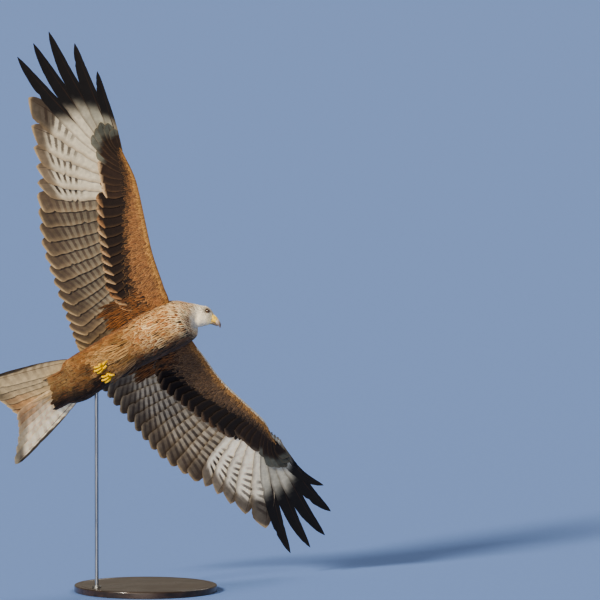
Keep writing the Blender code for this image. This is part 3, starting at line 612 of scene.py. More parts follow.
def primary_under(rank, word):
    """The underside of a primary: a pale window, ticks on the inner ones, a black outer part on fingers."""
    # Painted light and shade: the two wings get different window levels, and the left wing's window turns
    # grey from a lower rank.
    level, grey_from = (1.65, 4.0) if word == "left" else (0.78, 7.0)
    greyish = ease((rank - grey_from) / 2.0)

    def colour(t, s):
        window = mix(CREAM_WHITE * level, GREY_GREEN, greyish * (0.6 + 0.4 * ease(s)))
        # Painted shade: the outer web is darkened, and a painted shadow line runs along the inner web's edge.
        window = mix(window, GREY_BROWN, ease((s + 0.3) / 0.6) * 0.6)
        window = mix(window, GREY_BROWN * 0.8, 0.6 * ease((-s - 0.84) / 0.12))
        if rank > FIRST_FINGER:
            edge = 0.45 - 0.05 * (rank - 6) / 4 - 0.06 * s
            return mix(window, BLACK, ease((t - edge) / 0.16 + 0.5)), DARK, (0.05, 0, 0)
        end = 0.86 - 0.12 * (rank == FIRST_FINGER)
        deep = mix(GREY_BROWN * 0.6, DARK * 0.9, ease((rank - 3.2) / 1.6))
        tint = mix(window, deep, 0.88 * ease((t - end) / 0.1 + 0.5))
        bars = band(t, 0.5, 0.88, 0.1) * band(s, -0.62, 0.2, 0.25) * (0.7 + 0.06 * (FIRST_FINGER - rank))
        fringe = 0.8 * ease((t - 0.965) / 0.02) + 0.25 * ease((-s - 0.5) / 0.4)
        return tint, DARK, joined(0.03, bars, fringe)

    return colour


def secondary_under(number, word):
    """The underside of a secondary: grey with dark bars across it, browner towards the body and the tip."""
    inner = ease((number - 6) / 8)
    level, brown_level, contrast, barring = SECONDARY_LEVELS[word]

    def colour(t, s):
        pale = mix(PALE_GREY * level, CREAM_WHITE, 0.35 * ease((0.62 - t) / 0.3) * inner)
        # Painted shade: each feather is darker from the shaft over its outer web.
        pale = mix(pale, GREY_BROWN * brown_level, contrast * ease((s + 0.42) / 0.35))
        tint = mix(pale, GREY_BROWN * 0.5, 0.8 * ease((t - 0.79 + 0.22 * inner) / 0.16 + 0.5))
        bars = barring * (1 - 0.4 * inner) * (1 - ease((t - 0.93) / 0.05)) * (1 - 0.3 * ease((s - 0.2) / 0.5))
        bars = bars * (0.45 + 0.55 * ease((t - 0.3) / 0.2))
        fringe = 0.9 * ease((t - 0.965) / 0.02) + 0.35 * ease((-s - 0.5) / 0.4)
        return tint, BAR_BROWN, joined(0.035 + 0.02 * inner, bars, fringe)

    return colour


def remex_upper(rank):
    """The upper side of a flight feather: blackish primaries, and brown secondaries with faint bars."""
    share = ease((rank + 4) / 10)

    def colour(t, s):
        window = band(t, 0.2, 0.5, 0.15) * ease(-s * 2) * 0.5
        tint = mix(mix(BROWN * 0.8, BLACK * 1.3, share), GREY_BROWN, window)
        return tint, DARK * 0.7, joined(0.06, 0.5 * (1 - share), 0.7 * ease((t - 0.95) / 0.04))

    return colour


def wing_flight(word, material):
    """The flight feathers of one wing."""
    batch, plan = Batch(), remex_plan(word)
    for index, (root, tip, lift, shape, webs, bow, rank) in enumerate(plan):

        def height(x, out, t, lift=lift):
            return wing_height(x, out) + lift * np.maximum(2 * t - 1, 0) ** 2

        under = primary_under(rank, word) if rank > 0 else secondary_under(-rank, word)
        slant = 0.0 if rank > FIRST_FINGER else 0.7 if rank > 0 else 0.24
        line, cell = bowed(root, tip, bow), (index, len(plan))
        feather(batch, SIDES[word], line, shape, webs, slant, height, under, remex_upper(rank), cell)
    return batch.build(f"flight_{word}", material, "wing_feather")


def greater_coverts(word, material):
    """The greater coverts: one long feather over and one under the root of each flight feather."""
    batch, plan, side = Batch(), remex_plan(word), SIDES[word]
    for index, (root, tip, _, _, _, bow, rank) in enumerate(plan):
        past = rank - FIRST_FINGER
        tuck = np.array((-HAND_TUCK[word] * max(past, 0), 0))
        webs = (15.0, 25.0) if past < 0 else (10.0 - rank * 0.2, 18.0 - 0.6 * past)
        for number, face in enumerate(FACES):
            # The innermost coverts lie flatter.
            end, rise = COVERT_ENDS[face, rank > 0], COVERT_RISES[face] * (0.5 if rank < -12 else 1)

            def height(x, out, t, sign=FACES[face], rise=rise):
                return wing_height(x, out) + sign * np.maximum(arm_half(word, x, out, 0.9) + 0.5, rise)

            tip_colour, base = covert_colours(word, face, rank)
            tip_from = 0.62 if rank > 4 and face == "under" else 0.86

            def colour(t, s, base=base, tip_colour=tip_colour, tip_from=tip_from):
                tint = mix(base, tip_colour, ease((t - tip_from - 0.05 * s) / 0.1))
                fringe = 0.08 * ease((t - 0.9) / 0.06) + 0.12 * ease((np.abs(s) - 0.8) / 0.14)
                return tint, DARK * 0.7, joined(0.06, 0.15, fringe)

            line = bowed(root + COVERT_START * (tip - root) + tuck, root + end * (tip - root) + tuck, bow)
            cell = 2 * index + number, 2 * len(plan)
            feather(batch, side, line, COVERT_SHAPE, webs, 0.2, height, colour, colour, cell, 12, 5, False)
    return batch.build(f"greater_coverts_{word}", material, "wing_feather")


def covert_colours(word, face, rank):
    """The tip and base colours of a greater covert; the left wing's under coverts are darker copies, as
    painted shade.
    """
    if face == "upper":
        return (BUFF * 0.8, DARK * 1.2) if rank <= 0 else (BROWN, BLACK * 1.4)
    # Painted shade: the left wing's under coverts of the primaries are darker and greyer than the right's.
    if word == "left" and 0 < rank < 8:
        return mix(GREY_BROWN * 0.6, GREY_GREEN * 0.6, ease((rank - 3) / 3)), DARK
    if rank > 7:
        return GREY_GREEN * 0.32, DARK * 0.6
    if rank > 4:
        return mix(GREY_GREEN * 0.44, CREAM_WHITE, 0.04), DARK * 0.8
    if rank > 0:
        return mix(BUFF, CREAM_WHITE, 0.35), DARK * 1.1
    # Painted shade: the left wing's under coverts of the secondaries are brown and darker than the right's.
    if word == "left":
        return mix(BROWN, GREY_BROWN, RNG.random()), DARK * 0.5
    if rank < -12:
        return CHESTNUT * 0.8, DARK
    return mix(CREAM, RUFOUS, 0.3 + RNG.random() * 0.6) * 0.8, DARK * 0.6


def lie_angles(word):
    """Which way the wing's feathers point, outwards from straight back, along the wing."""
    rows = []
    for root, tip, *_ in remex_plan(word):
        reach = tip - root
        rows.append((root[1], math.atan2(reach[1], -reach[0])))
    outs, angles = zip(*sorted(rows))
    return lambda out: np.interp(out, outs, angles)


def covert_surface(word, face):
    """The outside of the wing's flesh and feather bases, as points for (forward, out)."""

    def surface(x, out):
        lead = lead_at(word, np.minimum(out, WING_END))
        inside = np.minimum(x, lead - 0.6)
        half = np.maximum(arm_half(word, inside, out, 0.93), 2.2 * ease((lead - x) / 6))
        return joined(inside, SIDES[word] * out, wing_height(inside, out) + FACES[face] * half)

    return surface


def under_covert_look(word, x, out, chance):
    """Colours of the small coverts under the wing: a warm band in front, then a wide dark band, with painted
    shade greying the left wing's band and a painted highlight on the leading edge.
    """
    behind = lead_at(word, out) - x
    border = np.interp(out, *zip(*RUFOUS_BAND)) + 9 * (chance - 0.5)
    if word == "right":
        border = border - 11 * (1 - ease((out - 200) / 90))
    front = 1 - ease((behind - border) / 30 + 0.5 + 0.5 * (chance - 0.5))
    rim = 1 - ease((behind - 2) / 6)
    body = 1 - ease((out - 70) / 60)
    pick = RNG.random(len(x))
    warm = mix(mix(RUFOUS * 0.84, GOLD, 0.35 * chance), CHESTNUT, 0.6 * ease((pick - 0.5) / 0.3))
    warm = mix(warm * 0.96, GREY_BROWN, 0.33)
    # Painted shade: on the left wing the warm front band is greyed and darkened.
    if word == "left":
        warm = mix(warm, mix(GREY_BROWN * 0.72, BROWN, 0.5 * pick), 0.95 * ease((out - 45) / 35))
    # Painted highlight: the leading edge is brightened towards gold, more on the right wing.
    warm = mix(warm, GOLD * 1.05, (0.85 if word == "right" else 0.6) * rim)
    dark = mix(DARK * 0.28, CHESTNUT * 0.32, 0.4 * ease((pick - 0.6) / 0.3))
    dark = mix(dark, BROWN * 0.6, 0.16 * ease((out - 440) / 45))
    tint = mix(mix(dark, warm, front), mix(CHESTNUT, RUFOUS, chance), 0.55 * body * (1 - 0.5 * front))
    mark = mix(BLACK, mix(mix(CHESTNUT * 0.6, DARK, pick), warm, 0.35), front)
    return tint, mark, joined(0.18 + 0.22 * chance + 0.06 * body, 0, 0.3 + 0.25 * front + 0.1 * chance)


def upper_covert_look(word, x, out, chance):
    """Colours of the small coverts on the wing: rufous lesser ones, and a pale band of median ones."""
    behind = lead_at(word, out) - x
    lesser = 1 - ease((behind - 0.62 * np.interp(out, *zip(*RUFOUS_BAND))) / 14)
    tint = mix(mix(BUFF * 1.15, OLIVE, 0.6 * chance), mix(RUFOUS, CHESTNUT, 0.4), lesser)
    tint = mix(tint, DARK, 0.85 * ease((out - 360) / 60))
    return tint, DARK, joined(0.34 + 0.14 * lesser, 0, 0.5)


COVERT_LOOKS = {"under": under_covert_look, "upper": upper_covert_look}


def small_places(across, along):
    """Where small feathers lie on the baked picture, inside a narrow border."""
    return PICTURE_BORDER + (1 - 2 * PICTURE_BORDER) * joined(across, along)


def wing_places(x, out):
    return small_places(out / WING_SPAN, np.clip((x + WING_BEHIND) / WING_CHORD, 0, 1))


def body_places(step, angle):
    return small_places((angle % math.tau) / math.tau, np.clip(step, 0, LAST_STEP) / LAST_STEP)


def small_coverts(word, face, material):
    """The rows of marginal, lesser and median coverts over or under one wing."""
    lie, surface, batch = lie_angles(word), covert_surface(word, face), Batch()
    limit = np.interp(np.arange(WING_START, WING_END), *zip(*COVERT_REACH))
    for number, (behind, length, width, spacing) in reversed(list(enumerate(COVERT_BANDS))):
        past = limit < behind + 0.45 * length
        end = WING_START + np.argmax(past) if past.any() else WING_END
        out = np.arange(34, min(end, 512), spacing)
        count = len(out)
        out = out + spacing * (0.5 * (number % 2) + 0.3 * (RNG.random(count) - 0.5))
        x = lead_at(word, out) - behind - 2.5 * RNG.random(count)
        angle = lie(out) * (0.8 if behind < 12 else 1.0) + RNG.normal(0, 0.05, count)
        size = (0.9 + 0.25 * RNG.random(count)) * np.interp(out, (34, 300, 430, 520), (1.15, 1.0, 0.85, 0.6))
        paint = COVERT_LOOKS[face](word, x, out, RNG.random(count))
        lift = 1.5 + 0.9 * RNG.random(count)
        heading, outward = (-np.cos(angle), np.sin(angle)), SIDES[word] * FACES[face]
        size = length * size, width * size
        lay(batch, surface, x, out, heading, outward, size, lift, paint, wing_places(x, out), bed=0.8)
    return batch.build(f"coverts_{face}_{word}", material, "wing_feather")


def axillaries(word, material):
    """The long rufous feathers that close the gap between the wing and the flank."""
    surface, batch = covert_surface(word, "under"), Batch()
    for row in range(6):
        out = np.arange(50, 116, 4.0) + 2.0 * (row % 2)
        x = 124 - 17 * row + 6 * RNG.random(len(out)) - 0.08 * (out - 50)
        angle = np.interp(out, (50, 112), (-0.06, 0.12)) + RNG.normal(0, 0.04, len(out))
        chance = RNG.random(len(out))
        tint = mix(mix(BROWN * 0.8, RUFOUS * 0.7, chance), DARK, 0.35 * ease((out - 90) / 25))
        paint = tint, DARK, joined(0.16 + 0.12 * chance, 0, 0.35)
        size = np.interp(row, (0, 5), (50, 74)) * (0.85 + 0.25 * chance), 9.0 + 3 * chance
        heading, lift, places = (-np.cos(angle), np.sin(angle)), 2.4 + chance, wing_places(x, out)
        lay(batch, surface, x, out, heading, -SIDES[word], size, lift, paint, places, POINTED_LEAF)
    return batch.build(f"axillaries_{word}", material, "wing_feather")


TAIL_CURVE = smooth(TAIL_TIPS)


def rectrix_line(rank, side):
    """The curved shaft of a tail feather in plan."""
    tip = TAIL_CURVE(rank)
    root = np.array((TAIL_ROOT_X, 4 + TAIL_ROOT_STEPS[side] * rank))
    bend = np.array((TAIL_ROOT_X - TAIL_BEND, 12 + TAIL_BEND_STEPS[side] * rank))

    def line(t):
        t = np.asarray(t)[:, None]
        return (1 - t) ** 2 * root + 2 * t * (1 - t) * bend + t * t * tip

    return line


def tail_under(rank, side):
    """The underside of a tail feather: cream grey, warmer in the middle, darker at the tip and outer edge,
    with painted light on the left half and painted shade on the right.
    """
    inner, outermost = 1 - ease((rank - 0.5) / 3), rank == TAIL_PAIRS - 1
    # Painted light and shade: the left half of the tail is made much brighter than the right.
    level = 1.95 if side > 0 else 0.46

    def colour(t, s):
        pale = mix(mix(CREAM_WHITE, CREAM, 0.5) * level, mix(CREAM, GOLD, 0.6) * 0.85, 0.6 * inner + 0.15)
        pale = mix(pale, GREY_BROWN, 0.4 * ease((s - 0.15) / 0.3) * (not outermost))
        pale = mix(pale, RUFOUS, 0.5 * inner * ease((t - 0.7) / 0.15))
        end = ease((t - 0.89 - 0.03 * s) / 0.06) * (0.62 - 0.3 * inner + 0.2 * outermost)
        border = 0.78 - 0.46 * ease((t - 0.45) / 0.35)
        edge = ease((s - border) / 0.16 + 0.5) * 0.95 if outermost else 0.45 * ease((s - 0.7) / 0.2)
        tint = mix(mix(pale, BLACK * 1.6, end), BLACK * 1.4, edge)
        bars = 0.42 * ease((t - 0.25) / 0.2) * (1 - 0.6 * ease((-s - 0.1) / 0.4))
        fringe = 0.9 * ease((t - 0.975) / 0.015) + 0.3 * ease((-s - 0.6) / 0.3)
        return tint, GREY_BROWN * 0.5, joined(0.03, bars, fringe)

    return colour


def tail_upper(rank):
    """The upper side of a tail feather: rufous orange, darker towards the tips of the outer pairs."""
    outer = ease((rank - 2.5) / 2.5)

    def colour(t, s):
        base = mix(RUFOUS * 1.12, GREY_BROWN, 0.45 * outer * ease((s + 0.2) / 0.5))
        tint = mix(base, DARK, (0.35 + 0.5 * outer) * ease((t - 0.9) / 0.07))
        bars = (0.25 + 0.3 * outer) * ease((t - 0.25) / 0.2)
        return tint, DARK, joined(0.05, bars, 0.6 * ease((t - 0.975) / 0.015))

    return colour


def tail_feathers(material):
    """The fan of the tail, with the middle feather of the right side raised over that of the left."""
    batch = Batch()
    for half, side in enumerate(SIDES.values()):
        for rank in range(TAIL_PAIRS):
            extra = TAIL_MIDDLE_LIFT if rank == 0 and side < 0 else 0.0

            def height(x, y, t, extra=extra):
                return TAIL_HEIGHT + TAIL_FALL * (x - TAIL_ROOT_X) + TAIL_LIFT * np.abs(y) + extra

            line, under, upper = rectrix_line(rank, side), tail_under(rank, side), tail_upper(rank)
            cell = half * TAIL_PAIRS + rank, 2 * TAIL_PAIRS
            feather(batch, side, line, TAIL_SHAPE, TAIL_WEBS, 0.3, height, under, upper, cell, 30)
    return batch.build("tail_vanes", material, "tail_feather")


def body_look(step, angle, chance):
    """Colours of the body's feathers at a step along it and an angle round it."""
    belly = ease((-np.sin(angle) + 0.45) / 0.9)
    hue, far, pick = RNG.random((3, len(step)))
    # Underside, from the undertail to the throat.
    vent = mix(mix(OLIVE * 0.62, BROWN, 0.5 * hue), BUFF, 0.16 * ease((far - 0.7) / 0.2))
    flank = mix(mix(OLIVE * 0.72, RUFOUS * 0.8, 0.2 + 0.35 * hue), BUFF * 0.85, 0.5 * ease((far - 0.5) / 0.4))
    breast = mix(BUFF * 0.8, RUFOUS * 0.9, 0.7 * ease((hue - 0.35) / 0.35))
    breast = mix(breast, CREAM, 0.5 * ease((far - 0.55) / 0.3))
    throat = mix(CREAM * 1.22, RUFOUS * 1.1, 0.65 * ease((far - 0.64) / 0.12))
    under = mix(vent, flank, ease((step - 3.4) / 2.2))
    under = mix(under, breast, ease((step - 7.0) / 2.0))
    under = mix(under, throat, ease((step - 10.2) / 1.4))
    # The shaded flank low in the picture.
    low = ease((np.cos(angle) + 0.25 + 0.3 * (hue - 0.5)) / 0.8) * (1 - ease((step - 11.2) / 2.0))
    low = low * ease((0.75 - np.sin(angle)) / 0.4)
    under = mix(under, BROWN * 0.42, 0.88 * low) * (0.76 + 0.24 * ease((step - 7.5) / 3.0))[:, None]
    # Back, from the rump to the nape.
    rump, mantle = mix(CHESTNUT, RUFOUS, hue), mix(CHESTNUT * 0.8, RUFOUS, 0.6 * hue)
    nape = mix(mix(BUFF, RUFOUS, 0.6 * hue), CREAM, 0.6 * ease((far - 0.5) / 0.2))
    over = mix(mix(rump, mantle, ease((step - 3.0) / 2.5)), nape, ease((step - 10.4) / 1.8))
    tint = mix(over, under, belly) * (1 - 0.3 * low)[:, None]
    # The head is whitish grey with fine streaks.
    face = ease((step - 12.6) / 1.6)
    pale = mix(mix(WHITISH * 1.16, HEAD_CREAM, hue), CREAM * 1.15, 0.35 * belly)
    pale = mix(pale, HEAD_GREY, 0.6 * (1 - belly) * ease((far - 0.45) / 0.3))
    dusky = mix(DARK, CHESTNUT, ease((pick - 0.35) / 0.2) * belly)
    mark = mix(dusky, mix(GREY_BROWN, BROWN, 0.5 * pick), face)
    front = ease((step - 7.0) / 2.5)
    streak = 0.07 + 0.08 * chance + front * (0.15 + 0.18 * chance) + 0.12 * (1 - belly)
    streak = streak * (1 - 0.6 * face) * (1 - 0.7 * face * belly)
    fringe = (0.16 + 0.64 * front * (1 - face)) * (1 - 0.8 * low)
    return mix(tint, pale, face), mark, joined(streak, 0, fringe)


def head_clear(points):
    """False for roots that would cover an eye, the cere or the mouth."""
    ahead, left, up = from_head(points)
    eye = (np.hypot(ahead, up) < LID_RADIUS + 0.4) & (np.abs(left) > 9)
    bill = (ahead > 16.6) & (up < 3.5)
    mouth = (ahead > 2) & (np.abs(up + 18.4 - 0.16 * (ahead - 10)) < 0.9) & (np.abs(left) > 6)
    return ~(eye | bill | mouth)


def hollow_shade(points):
    """Painted shade: how dark the coat is made in the hollows round the feet and at the corners of the eyes.
    """
    shade = np.ones(len(points))
    for x, y in FOOT_PLACES.values():
        away = np.hypot((points[:, 0] - x - 6) / 20, (points[:, 1] - y) / 13)
        shade = shade * (1 - PAINTED_HOLLOW_SHADE * (points[:, 2] < 0) * np.exp(-(away**4)))
    ahead, left, up = from_head(points)
    away = np.hypot(ahead - 1.0, up) / 8.8
    return shade * (1 - PAINTED_HOLLOW_SHADE * (np.abs(left) > 8) * np.exp(-(away**4)))


# Body tracts: piece, leaf, first and last step, feather length and width, spacing along and across, lift.
BODY_TRACTS = (
    ("coat_rear", LEAF, 1.85, 3.0, 34, 12, 7.0, 6.4, 2.0),
    ("coat_rear", LEAF, 3.0, 6.5, 40, 13.5, 9.0, 7.4, 2.2),
    ("coat_breast", LEAF, 6.5, 9.5, 36, 11.0, 8.4, 6.4, 2.3),
    ("coat_breast", POINTED_LEAF, 9.5, 11.6, 31, 8.6, 7.0, 5.2, 2.5),
    ("coat_neck", POINTED_LEAF, 11.6, 12.9, 24, 6.4, 5.2, 4.0, 2.4),
    ("coat_neck", POINTED_LEAF, 12.9, 13.9, 17, 4.8, 3.8, 3.2, 2.0),
    ("coat_head", LEAF, 13.9, 14.8, 10, 3.6, 2.6, 2.4, 1.4),
    ("coat_head", LEAF, 14.8, 16.2, 7, 2.9, 1.9, 1.9, 1.05),
    ("coat_head", LEAF, 16.2, 17.95, 4.4, 2.1, 1.3, 1.35, 0.75),
)


def coat(material, head_material):
    """The small feathers of the body, neck and head, row by row from the tail forward."""
    groups = {}
    for name, shape, first, last, length, width, along, across, lift in BODY_TRACTS:
        group = groups.setdefault(name, Batch())
        step, row = first, 0
        while step < last:
            middle = skin_surface(np.array((step, step + 0.01)), 0.5)
            speed = float(np.linalg.norm(middle[1] - middle[0])) / 0.01
            ring = skin_surface(step, np.linspace(0, math.tau, 64))
            around = float(np.linalg.norm(np.diff(ring, axis=0), axis=1).sum())
            number = max(int(around / across), 6)
            angle = np.arange(number) + 0.5 * (row % 2) + 0.35 * (RNG.random(number) - 0.5)
            angle = angle * math.tau / number
            here = step + (0.5 * along / speed) * (RNG.random(number) - 0.5)
            if step > 13:
                keep = head_clear(skin_surface(here, angle))
                angle, here = angle[keep], here[keep]
            count, roots = len(angle), skin_surface(here, angle)
            tint, mark, look = body_look(here, angle, RNG.random(count))
            lores = ease((from_head(roots)[0] - 8.5) / 8.0)
            tint = mix(tint, LORE_YELLOW, 0.5 * lores) * hollow_shade(roots)[:, None]
            size = 0.85 + 0.3 * RNG.random(count)
            drift = 0.0012 * length * np.cos(angle) + RNG.normal(0, 0.03, count)
            raised = lift * (0.75 + 0.5 * RNG.random(count))
            heading, size = (-1.0, drift / 10), (length * size, width * size)
            lay(
                group, skin_surface, here, angle, heading, -1, size, raised, (tint, mark, look),
                body_places(here, angle), shape, 0.25 * lift,
            )
            step += along / speed
            row += 1
    for name, group in groups.items():
        if name in ("coat_head", "coat_neck"):
            group.build(name, head_material, "head_feather")
        else:
            group.build(name, material, "body_feather")


def build_thigh_tufts(material):
    """The soft loose feathers of the thighs and vent, which half hide the feet."""
    batch, steps = Batch(), np.linspace(3, 9, 60)
    for word, side in SIDES.items():
        x, y = FOOT_PLACES[word]
        spot = np.array((x + 66, y + 4 * side)) + RNG.normal(0, 1, (TUFT_COUNT, 2)) * (15, 9)
        step = np.interp(spot[:, 0], BODY_CURVE(steps)[:, 0], steps)
        angle = -math.pi / 2 + np.arcsin(np.clip(spot[:, 1] / BODY_CURVE(step)[:, 3], -0.9, 0.9))
        chance = RNG.random(TUFT_COUNT)
        tint = mix(mix(OLIVE * 0.78, BUFF * 0.76, chance), CHESTNUT, 0.3 * RNG.random(TUFT_COUNT))
        paint = tint, BROWN, joined(0.12 + 0.1 * chance, 0, 0.5)
        heading, size = (-1.0, RNG.normal(0, 0.02, TUFT_COUNT)), (40 + 12 * chance, 8 + 4 * chance)
        lift, places = 9.5 + 5 * RNG.random(TUFT_COUNT), body_places(step, angle)
        lay(batch, skin_surface, step, angle, heading, -1, size, lift, paint, places, POINTED_LEAF)
    batch.build("coat_thighs", material, "body_feather")


def turned_outward(bm, mesh):
    """Writes a bmesh to the mesh with its faces turned outward."""
    bmesh.ops.recalc_face_normals(bm, faces=bm.faces)
    bm.to_mesh(mesh)
    bm.free()
    return mesh


def grid_mesh(name, rings, closed_ends=True):
    """A smooth skin over rings of points in the bird's frame."""
    rings = np.asarray(rings)
    rows, count = rings.shape[:2]
    index = np.arange(rows * count).reshape(rows, count)
    near, far = index[:-1], index[1:]
    faces = joined(near, np.roll(near, -1, 1), np.roll(far, -1, 1), far).reshape(-1, 4).tolist()
    if closed_ends:
        faces += [index[0, ::-1].tolist(), index[-1].tolist()]
    mesh = bpy.data.meshes.new(name)
    mesh.from_pydata(to_world(rings.reshape(-1, 3)).tolist(), [], faces)
    bm = bmesh.new()
    bm.from_mesh(mesh)
    turned_outward(bm, mesh).shade_smooth()
    return mesh


def grid_piece(name, rings, material, closed_ends=True):
    return finish_piece(name, grid_mesh(name, rings, closed_ends), material)


def ball(segments, rings):
    """A bmesh ball, and its points on the unit sphere."""
    bm = bmesh.new()
    bmesh.ops.create_uvsphere(bm, u_segments=segments, v_segments=rings, radius=1)
    return bm, np.array([v.co for v in bm.verts])


def moved(name, bm, points):
    """A bmesh as a mesh, its points moved to places in the bird's frame."""
    for vert, place in zip(bm.verts, to_world(points)):
        vert.co = place
    return turned_outward(bm, bpy.data.meshes.new(name))


def join_pieces(name, meshes, material):
    """One piece of several meshes."""
    bm = bmesh.new()
    for mesh in meshes:
        bm.from_mesh(mesh)
        bpy.data.meshes.remove(mesh)
    mesh = bpy.data.meshes.new(name)
    bm.to_mesh(mesh)
    bm.free()
    mesh.shade_smooth()
    return finish_piece(name, mesh, material)


def combine(obj, operation, meshes, material):
    """Joins closed meshes to a piece, or cuts them out of it."""
    tools = [linked(mesh.name, mesh) for mesh in meshes]
    for tool in tools:
        modifier = obj.modifiers.new(operation, "BOOLEAN")
        modifier.operation, modifier.solver, modifier.object = operation, "EXACT", tool
    graph = bpy.context.evaluated_depsgraph_get()
    mesh = bpy.data.meshes.new_from_object(obj.evaluated_get(graph))
    obj.modifiers.clear()
    obj.data = mesh
    for tool in tools:
        bpy.data.objects.remove(tool)
    mesh.materials.clear()
    mesh.materials.append(material)


def build_skin(material):
    """One skin over the flesh of the body, neck, head and both arms, under the coat."""
    steps = np.concatenate((np.linspace(1.75, 13, 90), np.linspace(13.1, LAST_STEP, 90)))
    skin = grid_piece("skin", skin_surface(steps[:, None], circle(120)), material)
    arms = []
    out, turn = np.linspace(34, 497, 60)[:, None], circle(40)
    for word, side in SIDES.items():
        rear, lead = REAR_CURVE(out)[..., 0] + 1.0, lead_at(word, out) - 1.2
        x = rear + (lead - rear) * (0.5 + 0.5 * np.cos(turn))
        half = arm_half(word, x, out, 0.86) + 0.3
        z = wing_height(x, out) + np.sign(np.sin(turn)) * half
        arms.append(grid_mesh("arm", joined(x, side * out, z)))
    combine(skin, "UNION", arms, material)
    colour_skin(skin.data)
    skin.data.shade_smooth()
    return skin


def colour_skin(mesh):
    """Gives the skin the colours of the coat over it, point by point."""
    flat = np.zeros(len(mesh.vertices) * 3)
    mesh.vertices.foreach_get("co", flat)
    points = from_world(flat.reshape(-1, 3) / MM)
    steps = np.linspace(0, LAST_STEP, 240)
    away = points[:, None] - BODY_CURVE(steps)[:, :3]
    nearest = steps[np.argmin((away**2).sum(-1), axis=1)]
    row = BODY_CURVE(nearest)
    left, up = (((points - row[:, :3]) * axis).sum(-1) for axis in section_axes(row))
    tint, _, _ = body_look(nearest, np.arctan2(up, left), RNG.random(len(points)))
    x, y, z = points.T
    out = np.abs(y)
    for word, side in SIDES.items():
        on = (out > 68) & (y * side > 0) & (nearest < 13)
        for face, sign in FACES.items():
            chosen = on & ((z - wing_height(x, out)) * sign >= 0)
            if chosen.any():
                chance = RNG.random(chosen.sum())
                tint[chosen] = COVERT_LOOKS[face](word, x[chosen], out[chosen], chance)[0]
    store(mesh, "tint", tint * 0.8)


def bill_rings(rows, sides, steps):
    """Rings of the bill, each tipped forward by its pitch, with a narrow ridge above and a flat underside."""
    table = smooth(rows)(np.linspace(rows[0][0], rows[-1][0], steps)[:, None])
    ahead, height, pitch_deg, wide, above, below = np.moveaxis(table, -1, 0)
    pitch, angle = np.radians(pitch_deg), circle(sides)
    tall = np.where(np.sin(angle) > 0, above, below) * np.sin(angle)
    out = wide * np.cos(angle) * (1 - 0.14 * np.clip(np.sin(angle), 0, 1))
    return in_head(ahead + tall * np.sin(pitch), out, height + tall * np.cos(pitch))


def build_bill(cere_material, horn, lower_horn):
    """The cere with its nostrils, both halves of the bill and the gape."""
    cere = grid_piece("cere_soft", bill_rings(CERE_ROWS, 48, 20), cere_material)
    tilt = np.array(Matrix.Rotation(math.radians(NOSTRIL_TILT_DEG), 3, "Y"))
    pits = []
    for side in SIDES.values():
        bm, points = ball(24, 12)
        places = (points * NOSTRIL_SIZE) @ tilt.T + np.array((1, side, 1)) * NOSTRIL_PLACE
        pits.append(moved("nostril", bm, in_head(*places.T)))
    combine(cere, "DIFFERENCE", pits, cere_material)
    upper = grid_piece("bill_hook", bill_rings(BILL_ROWS, 40, 40), horn)
    lower = grid_piece("bill_under", bill_rings(LOWER_BILL_ROWS, 36, 30), lower_horn)
    build_gape(cere_material)
    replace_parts(cere, "cere")
    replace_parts(upper, "bill_upper")
    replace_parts(lower, "bill_lower")


def build_gape(material):
    """The soft yellow edge of the mouth, from the bill back to under the eye on both sides."""
    t, turn, parts = np.linspace(0, 1, 14), circle(10)[:, None], []
    out = np.interp(t, (0, 0.25, 0.55, 0.8, 1), (6.0, 7.8, 9.5, 11.2, 12.6))
    size = 1.15 * np.sin(math.pi * (0.02 + 0.96 * t)) ** 0.8
    for side in (-1, 1):
        points = in_head(31.5 - 24.5 * t, side * out, -19.4 + 0.4 * np.sin(math.pi * t) + 1.2 * t)[::-side]
        ahead = unit(np.gradient(points, axis=0))
        across = unit(np.cross(ahead, HEAD @ UPWARD))
        lift = np.cross(across, ahead)
        ring = np.cos(turn) * across[:, None] + 0.95 * np.sin(turn) * lift[:, None]
        parts.append(grid_mesh("gape", points[:, None] + size[:, None, None] * ring))
    join_pieces("gape", parts, material)


def build_eyes(eye_material, lid_material):
    """The eyeballs, each a little fuller over the pupil, and their lids."""
    for word, side in SIDES.items():
        bm, points = ball(48, 32)
        ahead, up, axis = points.T
        out = EYE_OUT + EYE_RADIUS * axis + 0.75 * ease((axis - 0.8) / 0.2)
        mesh = moved(f"eyeball_{word}", bm, in_head(EYE_RADIUS * ahead, side * out, EYE_RADIUS * up))
        store(mesh, "vane", joined(np.degrees(np.arccos(np.clip(axis, -1, 1))), np.arctan2(up, ahead), 0))
        mesh.shade_smooth()
        eye = finish_piece(f"eyeball_{word}", mesh, eye_material)
        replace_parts(eye, f"eye_{word}")
        grid_piece(f"lid_{word}", lid_rings(side), lid_material, False)


def lid_rings(side):
    """The bare rim of the eye, drawn out a little in front and behind."""
    round_eye, round_rim = circle(56)[:, None], circle(10)
    out = math.sqrt((EYE_RADIUS + 0.35) ** 2 - LID_RADIUS**2) + 0.62 * np.sin(round_rim)
    wide = LID_RADIUS * (1 + 0.1 * np.cos(round_eye) ** 4) + 0.85 * np.cos(round_rim)
    rings = in_head(wide * np.cos(round_eye), side * (EYE_OUT + out), 0.94 * wide * np.sin(round_eye))
    return np.concatenate((rings, rings[:1]))


def toe_path(hub, yaw_deg, reach, drop, end_deg, steps):
    """The curve of a toe that leaves the hub at a yaw and closes down to an angle."""
    yaw = math.radians(yaw_deg)
    angle = np.radians(6 + (end_deg - 6) * np.linspace(0, 1, steps))
    along, sink = reach * (1 - np.cos(angle)), -drop * np.sin(angle)
    return hub + joined(-along * math.cos(yaw), along * math.sin(yaw), sink)


